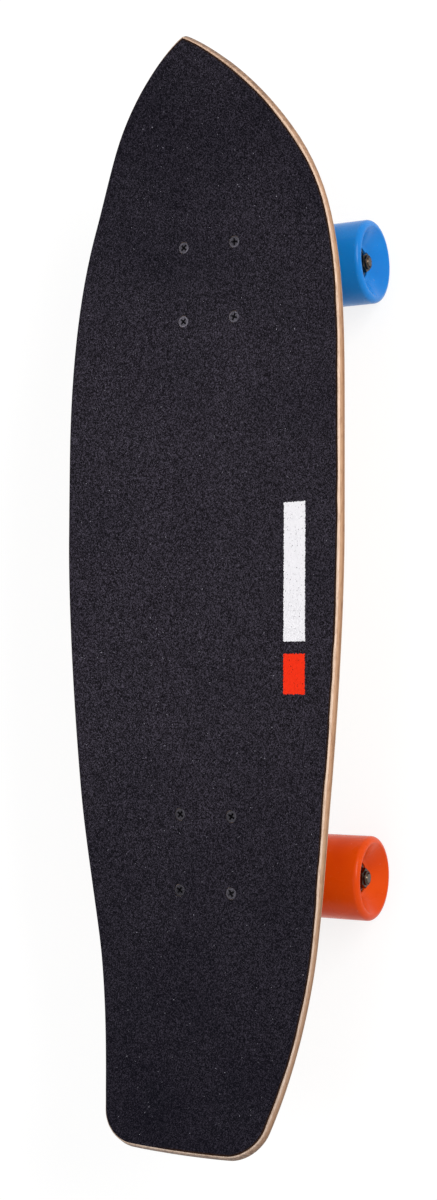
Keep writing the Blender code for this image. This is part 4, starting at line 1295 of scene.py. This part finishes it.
def bearing():
    """A shielded ball bearing about Y, alike on both faces."""
    hole, face = AXLE_RADIUS + GAP, BEARING_WIDTH / 2
    shield = face - 0.0006
    half = [(BEARING_RADIUS, face, 0.0004), (0.0095, face, 0.0001), (0.0094, shield), (0.0078, face - 0.0004)]
    half += [(0.0064, shield), (0.0063, face - 0.0014), (0.0060, face - 0.0014), (0.0060, face, 0.0002)]
    half += [(hole, face, 0.0003)]

    def shielded(place):
        return float(0.0062 < from_axis(place) < 0.0096 and abs(place.z) < face - 0.00015)

    return along_y(marked(turned(half + flipped(half)), "insert", shielded))


kingpin_nut = hex_nut(KINGPIN_NUT_FLATS, KINGPIN_NUT_HEIGHT, 0.0051, COARSE_PITCH)
board_washer = placed(cup_washer(BUSHING_RADIUS), shift(z=board_washer_at), at_kingpin)
road_washer = placed(cup_washer(ROAD_BUSHING_FAR_RADIUS), shift(z=road_washer_at), FLIP, at_kingpin)
fixed_parts = {
    "riser_pad": (riser(), RISER_RUBBER, "riser_rubber"),
    "baseplate": (baseplate(), CASTING, "cast_aluminium"),
    "pivot_cup": (placed(pivot_cup(), at_pivot), CUP_PLASTIC, "cup_plastic"),
    "kingpin": (placed(kingpin(), at_kingpin), ZINC, "zinc_steel"),
    "board_washer": (board_washer, ZINC, "zinc_steel"),
    "road_washer": (road_washer, ZINC, "zinc_steel"),
    "kingpin_nut": (placed(kingpin_nut, shift(z=kingpin_nut_at), FLIP, at_kingpin), ZINC_NUT, "zinc_steel"),
}
steered_parts = {
    "hanger": (hanger(), CASTING, "cast_aluminium"),
    "axle": (placed(axle(), at_axle), AXLE_STEEL, "zinc_steel"),
}
board_bushing = placed(bushing(BOARD_BUSHING_HEIGHT, BUSHING_RADIUS), shift(z=BUSHING_SEAT), at_kingpin)
road_bushing = bushing(ROAD_BUSHING_HEIGHT, ROAD_BUSHING_FAR_RADIUS)
road_bushing = placed(road_bushing, shift(z=BUSHING_SEAT), FLIP, at_kingpin)
bushings = {
    "board_bushing": (board_bushing, 1, BOARD_BUSHING_HEIGHT),
    "road_bushing": (road_bushing, -1, ROAD_BUSHING_HEIGHT),
}
axle_nut = hex_nut(AXLE_NUT_FLATS, AXLE_NUT_HEIGHT, 0.0041, COARSE_PITCH)
axle_nut = merged(speed_washer(), placed(axle_nut, shift(z=SPEED_WASHER_THICKNESS)))
wheel_form = wheel()
bearing_form = bearing()

for end_name, end, wheel_finish, wheel_slot in (
    ("front", 1, WHEEL_BLUE, "urethane_blue"),
    ("rear", -1, WHEEL_ORANGE, "urethane_orange"),
):
    in_place = Matrix.Translation(truck_origins[end]) @ Matrix.Rotation(0 if end > 0 else math.pi, 4, "Z")
    steered_body = f"{end_name}_hanger"
    for body, parts in (("deck", fixed_parts), (steered_body, steered_parts)):
        for part, (form, finish, slot) in parts.items():
            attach(stand_in(f"{end_name}_{part}", twin(form, in_place), finish), body)
    for part, (form, side, height) in bushings.items():
        form = twin(form, in_place)
        made = stand_in(f"{end_name}_{part}", form, BUSHING_URETHANE)
        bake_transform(made)
    for side in (1, -1):
        corner = f"{end_name}_{'left' if side * end > 0 else 'right'}"
        wheel_body = f"{corner}_wheel"

        def on_axle(form, y):
            return twin(form, shift(y=side * y), at_axle, in_place)

        nut = on_axle(along_y(axle_nut.copy(), side), AXLE_NUT_AT)
        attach(stand_in(f"{corner}_axle_nut", nut, AXLE_NUT), steered_body)
        washer = on_axle(along_y(speed_washer(), side), HANGER_HALF_WIDTH)
        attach(piece(f"{corner}_speed_washer", washer, ZINC), steered_body)
        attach(stand_in(wheel_body, on_axle(wheel_form, WHEEL_MIDDLE), wheel_finish), wheel_body)
        for which, direction in (("inner", -1), ("outer", 1)):
            form = on_axle(bearing_form, WHEEL_MIDDLE + direction * BEARING_FROM_MIDDLE)
            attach(stand_in(f"{corner}_{which}_bearing", form, BEARING), wheel_body)
        for material_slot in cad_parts[f"{corner}_bearing_spacer"].material_slots:
            material_slot.material = ZINC


# Floor, light and camera


def studio_material():
    """A white floor. To the camera most of its brightness is its own, so that shadows stay pale, and away
    from the board all of it is. Metal sees plain white there, and other light falls on a matt floor."""
    made = bpy.data.materials.new("studio_floor")
    made.use_nodes = True
    tree = made.node_tree
    tree.nodes.clear()

    def grey(kind, value):
        return output(tree, kind, {"Color": (value, value, value, 1)})

    def mixed(share, first, second):
        return output(tree, "ShaderNodeMixShader", {0: share, 1: first, 2: second})

    seen = node(tree, "ShaderNodeLightPath").outputs
    away = output(tree, "ShaderNodeVectorMath", {0: object_place(tree)}, "Value", operation="LENGTH")
    white = grey("ShaderNodeEmission", 1.0)
    pale, glow = grey("ShaderNodeBsdfDiffuse", 0.26), grey("ShaderNodeEmission", 0.8)
    near = output(tree, "ShaderNodeAddShader", {0: pale, 1: glow})
    shown = mixed(between(away, 0.8, 2.2), near, white)
    lit = mixed(seen["Is Camera Ray"], grey("ShaderNodeBsdfDiffuse", 0.9), shown)
    mirrored = maths("MAXIMUM", seen["Is Glossy Ray"], seen["Is Transmission Ray"])
    node(tree, "ShaderNodeOutputMaterial", {"Surface": mixed(mirrored, lit, white)})
    return made


FLOOR_REACH = 6.0
floor_corners = [(x * FLOOR_REACH, y * FLOOR_REACH, 0.0) for x, y in ((-1, -1), (1, -1), (1, 1), (-1, 1))]
floor = in_scene("floor", mesh_from("floor", floor_corners, faces=[(0, 1, 2, 3)]))
floor.data.materials.append(studio_material())

world = bpy.data.worlds.new("studio")
bpy.context.scene.world = world
world.use_nodes = True
sky = world.node_tree
sky.nodes.clear()
rays = node(sky, "ShaderNodeLightPath").outputs
plain = maths("MAXIMUM", rays["Is Glossy Ray"], rays["Is Transmission Ray"])
strength = maths("MULTIPLY_ADD", maths("MAXIMUM", rays["Is Camera Ray"], plain), 0.45, 0.55)
light = output(sky, "ShaderNodeBackground", {"Color": (1, 1, 1, 1), "Strength": strength})
node(sky, "ShaderNodeOutputWorld", {"Surface": light})


def softbox(name, place, width, height, power):
    """An area light that faces the middle of the board."""
    lamp = bpy.data.lights.new(name, "AREA")
    lamp.shape = "RECTANGLE"
    lamp.size = width
    lamp.size_y = height
    lamp.energy = power
    made = in_scene(name, lamp)
    made.location = place
    made.rotation_euler = (Vector((0, 0, 0.05)) - Vector(place)).to_track_quat("-Z", "Y").to_euler()


softbox("key", (0.65, -1.5, 1.2), 1.2, 0.5, 23.0)
softbox("overhead", (-0.2, 0.5, 2.2), 1.4, 1.4, 10.0)

camera_data = bpy.data.cameras.new("photo_camera")
camera_data.sensor_fit = "AUTO"
camera_data.sensor_width = SENSOR
camera_data.lens = FOCAL_PIXELS * SENSOR / PHOTO_HEIGHT
camera_data.clip_start = 0.05
camera = in_scene("photo_camera", camera_data)
camera.location = Vector((DECK_MIDDLE, 0, DECK_TOP)) + Vector(CAMERA_FROM_DECK)
camera.rotation_euler = [math.radians(turn) for turn in CAMERA_TURN]
bpy.context.scene.camera = camera
bpy.context.scene.view_settings.view_transform = "Standard"
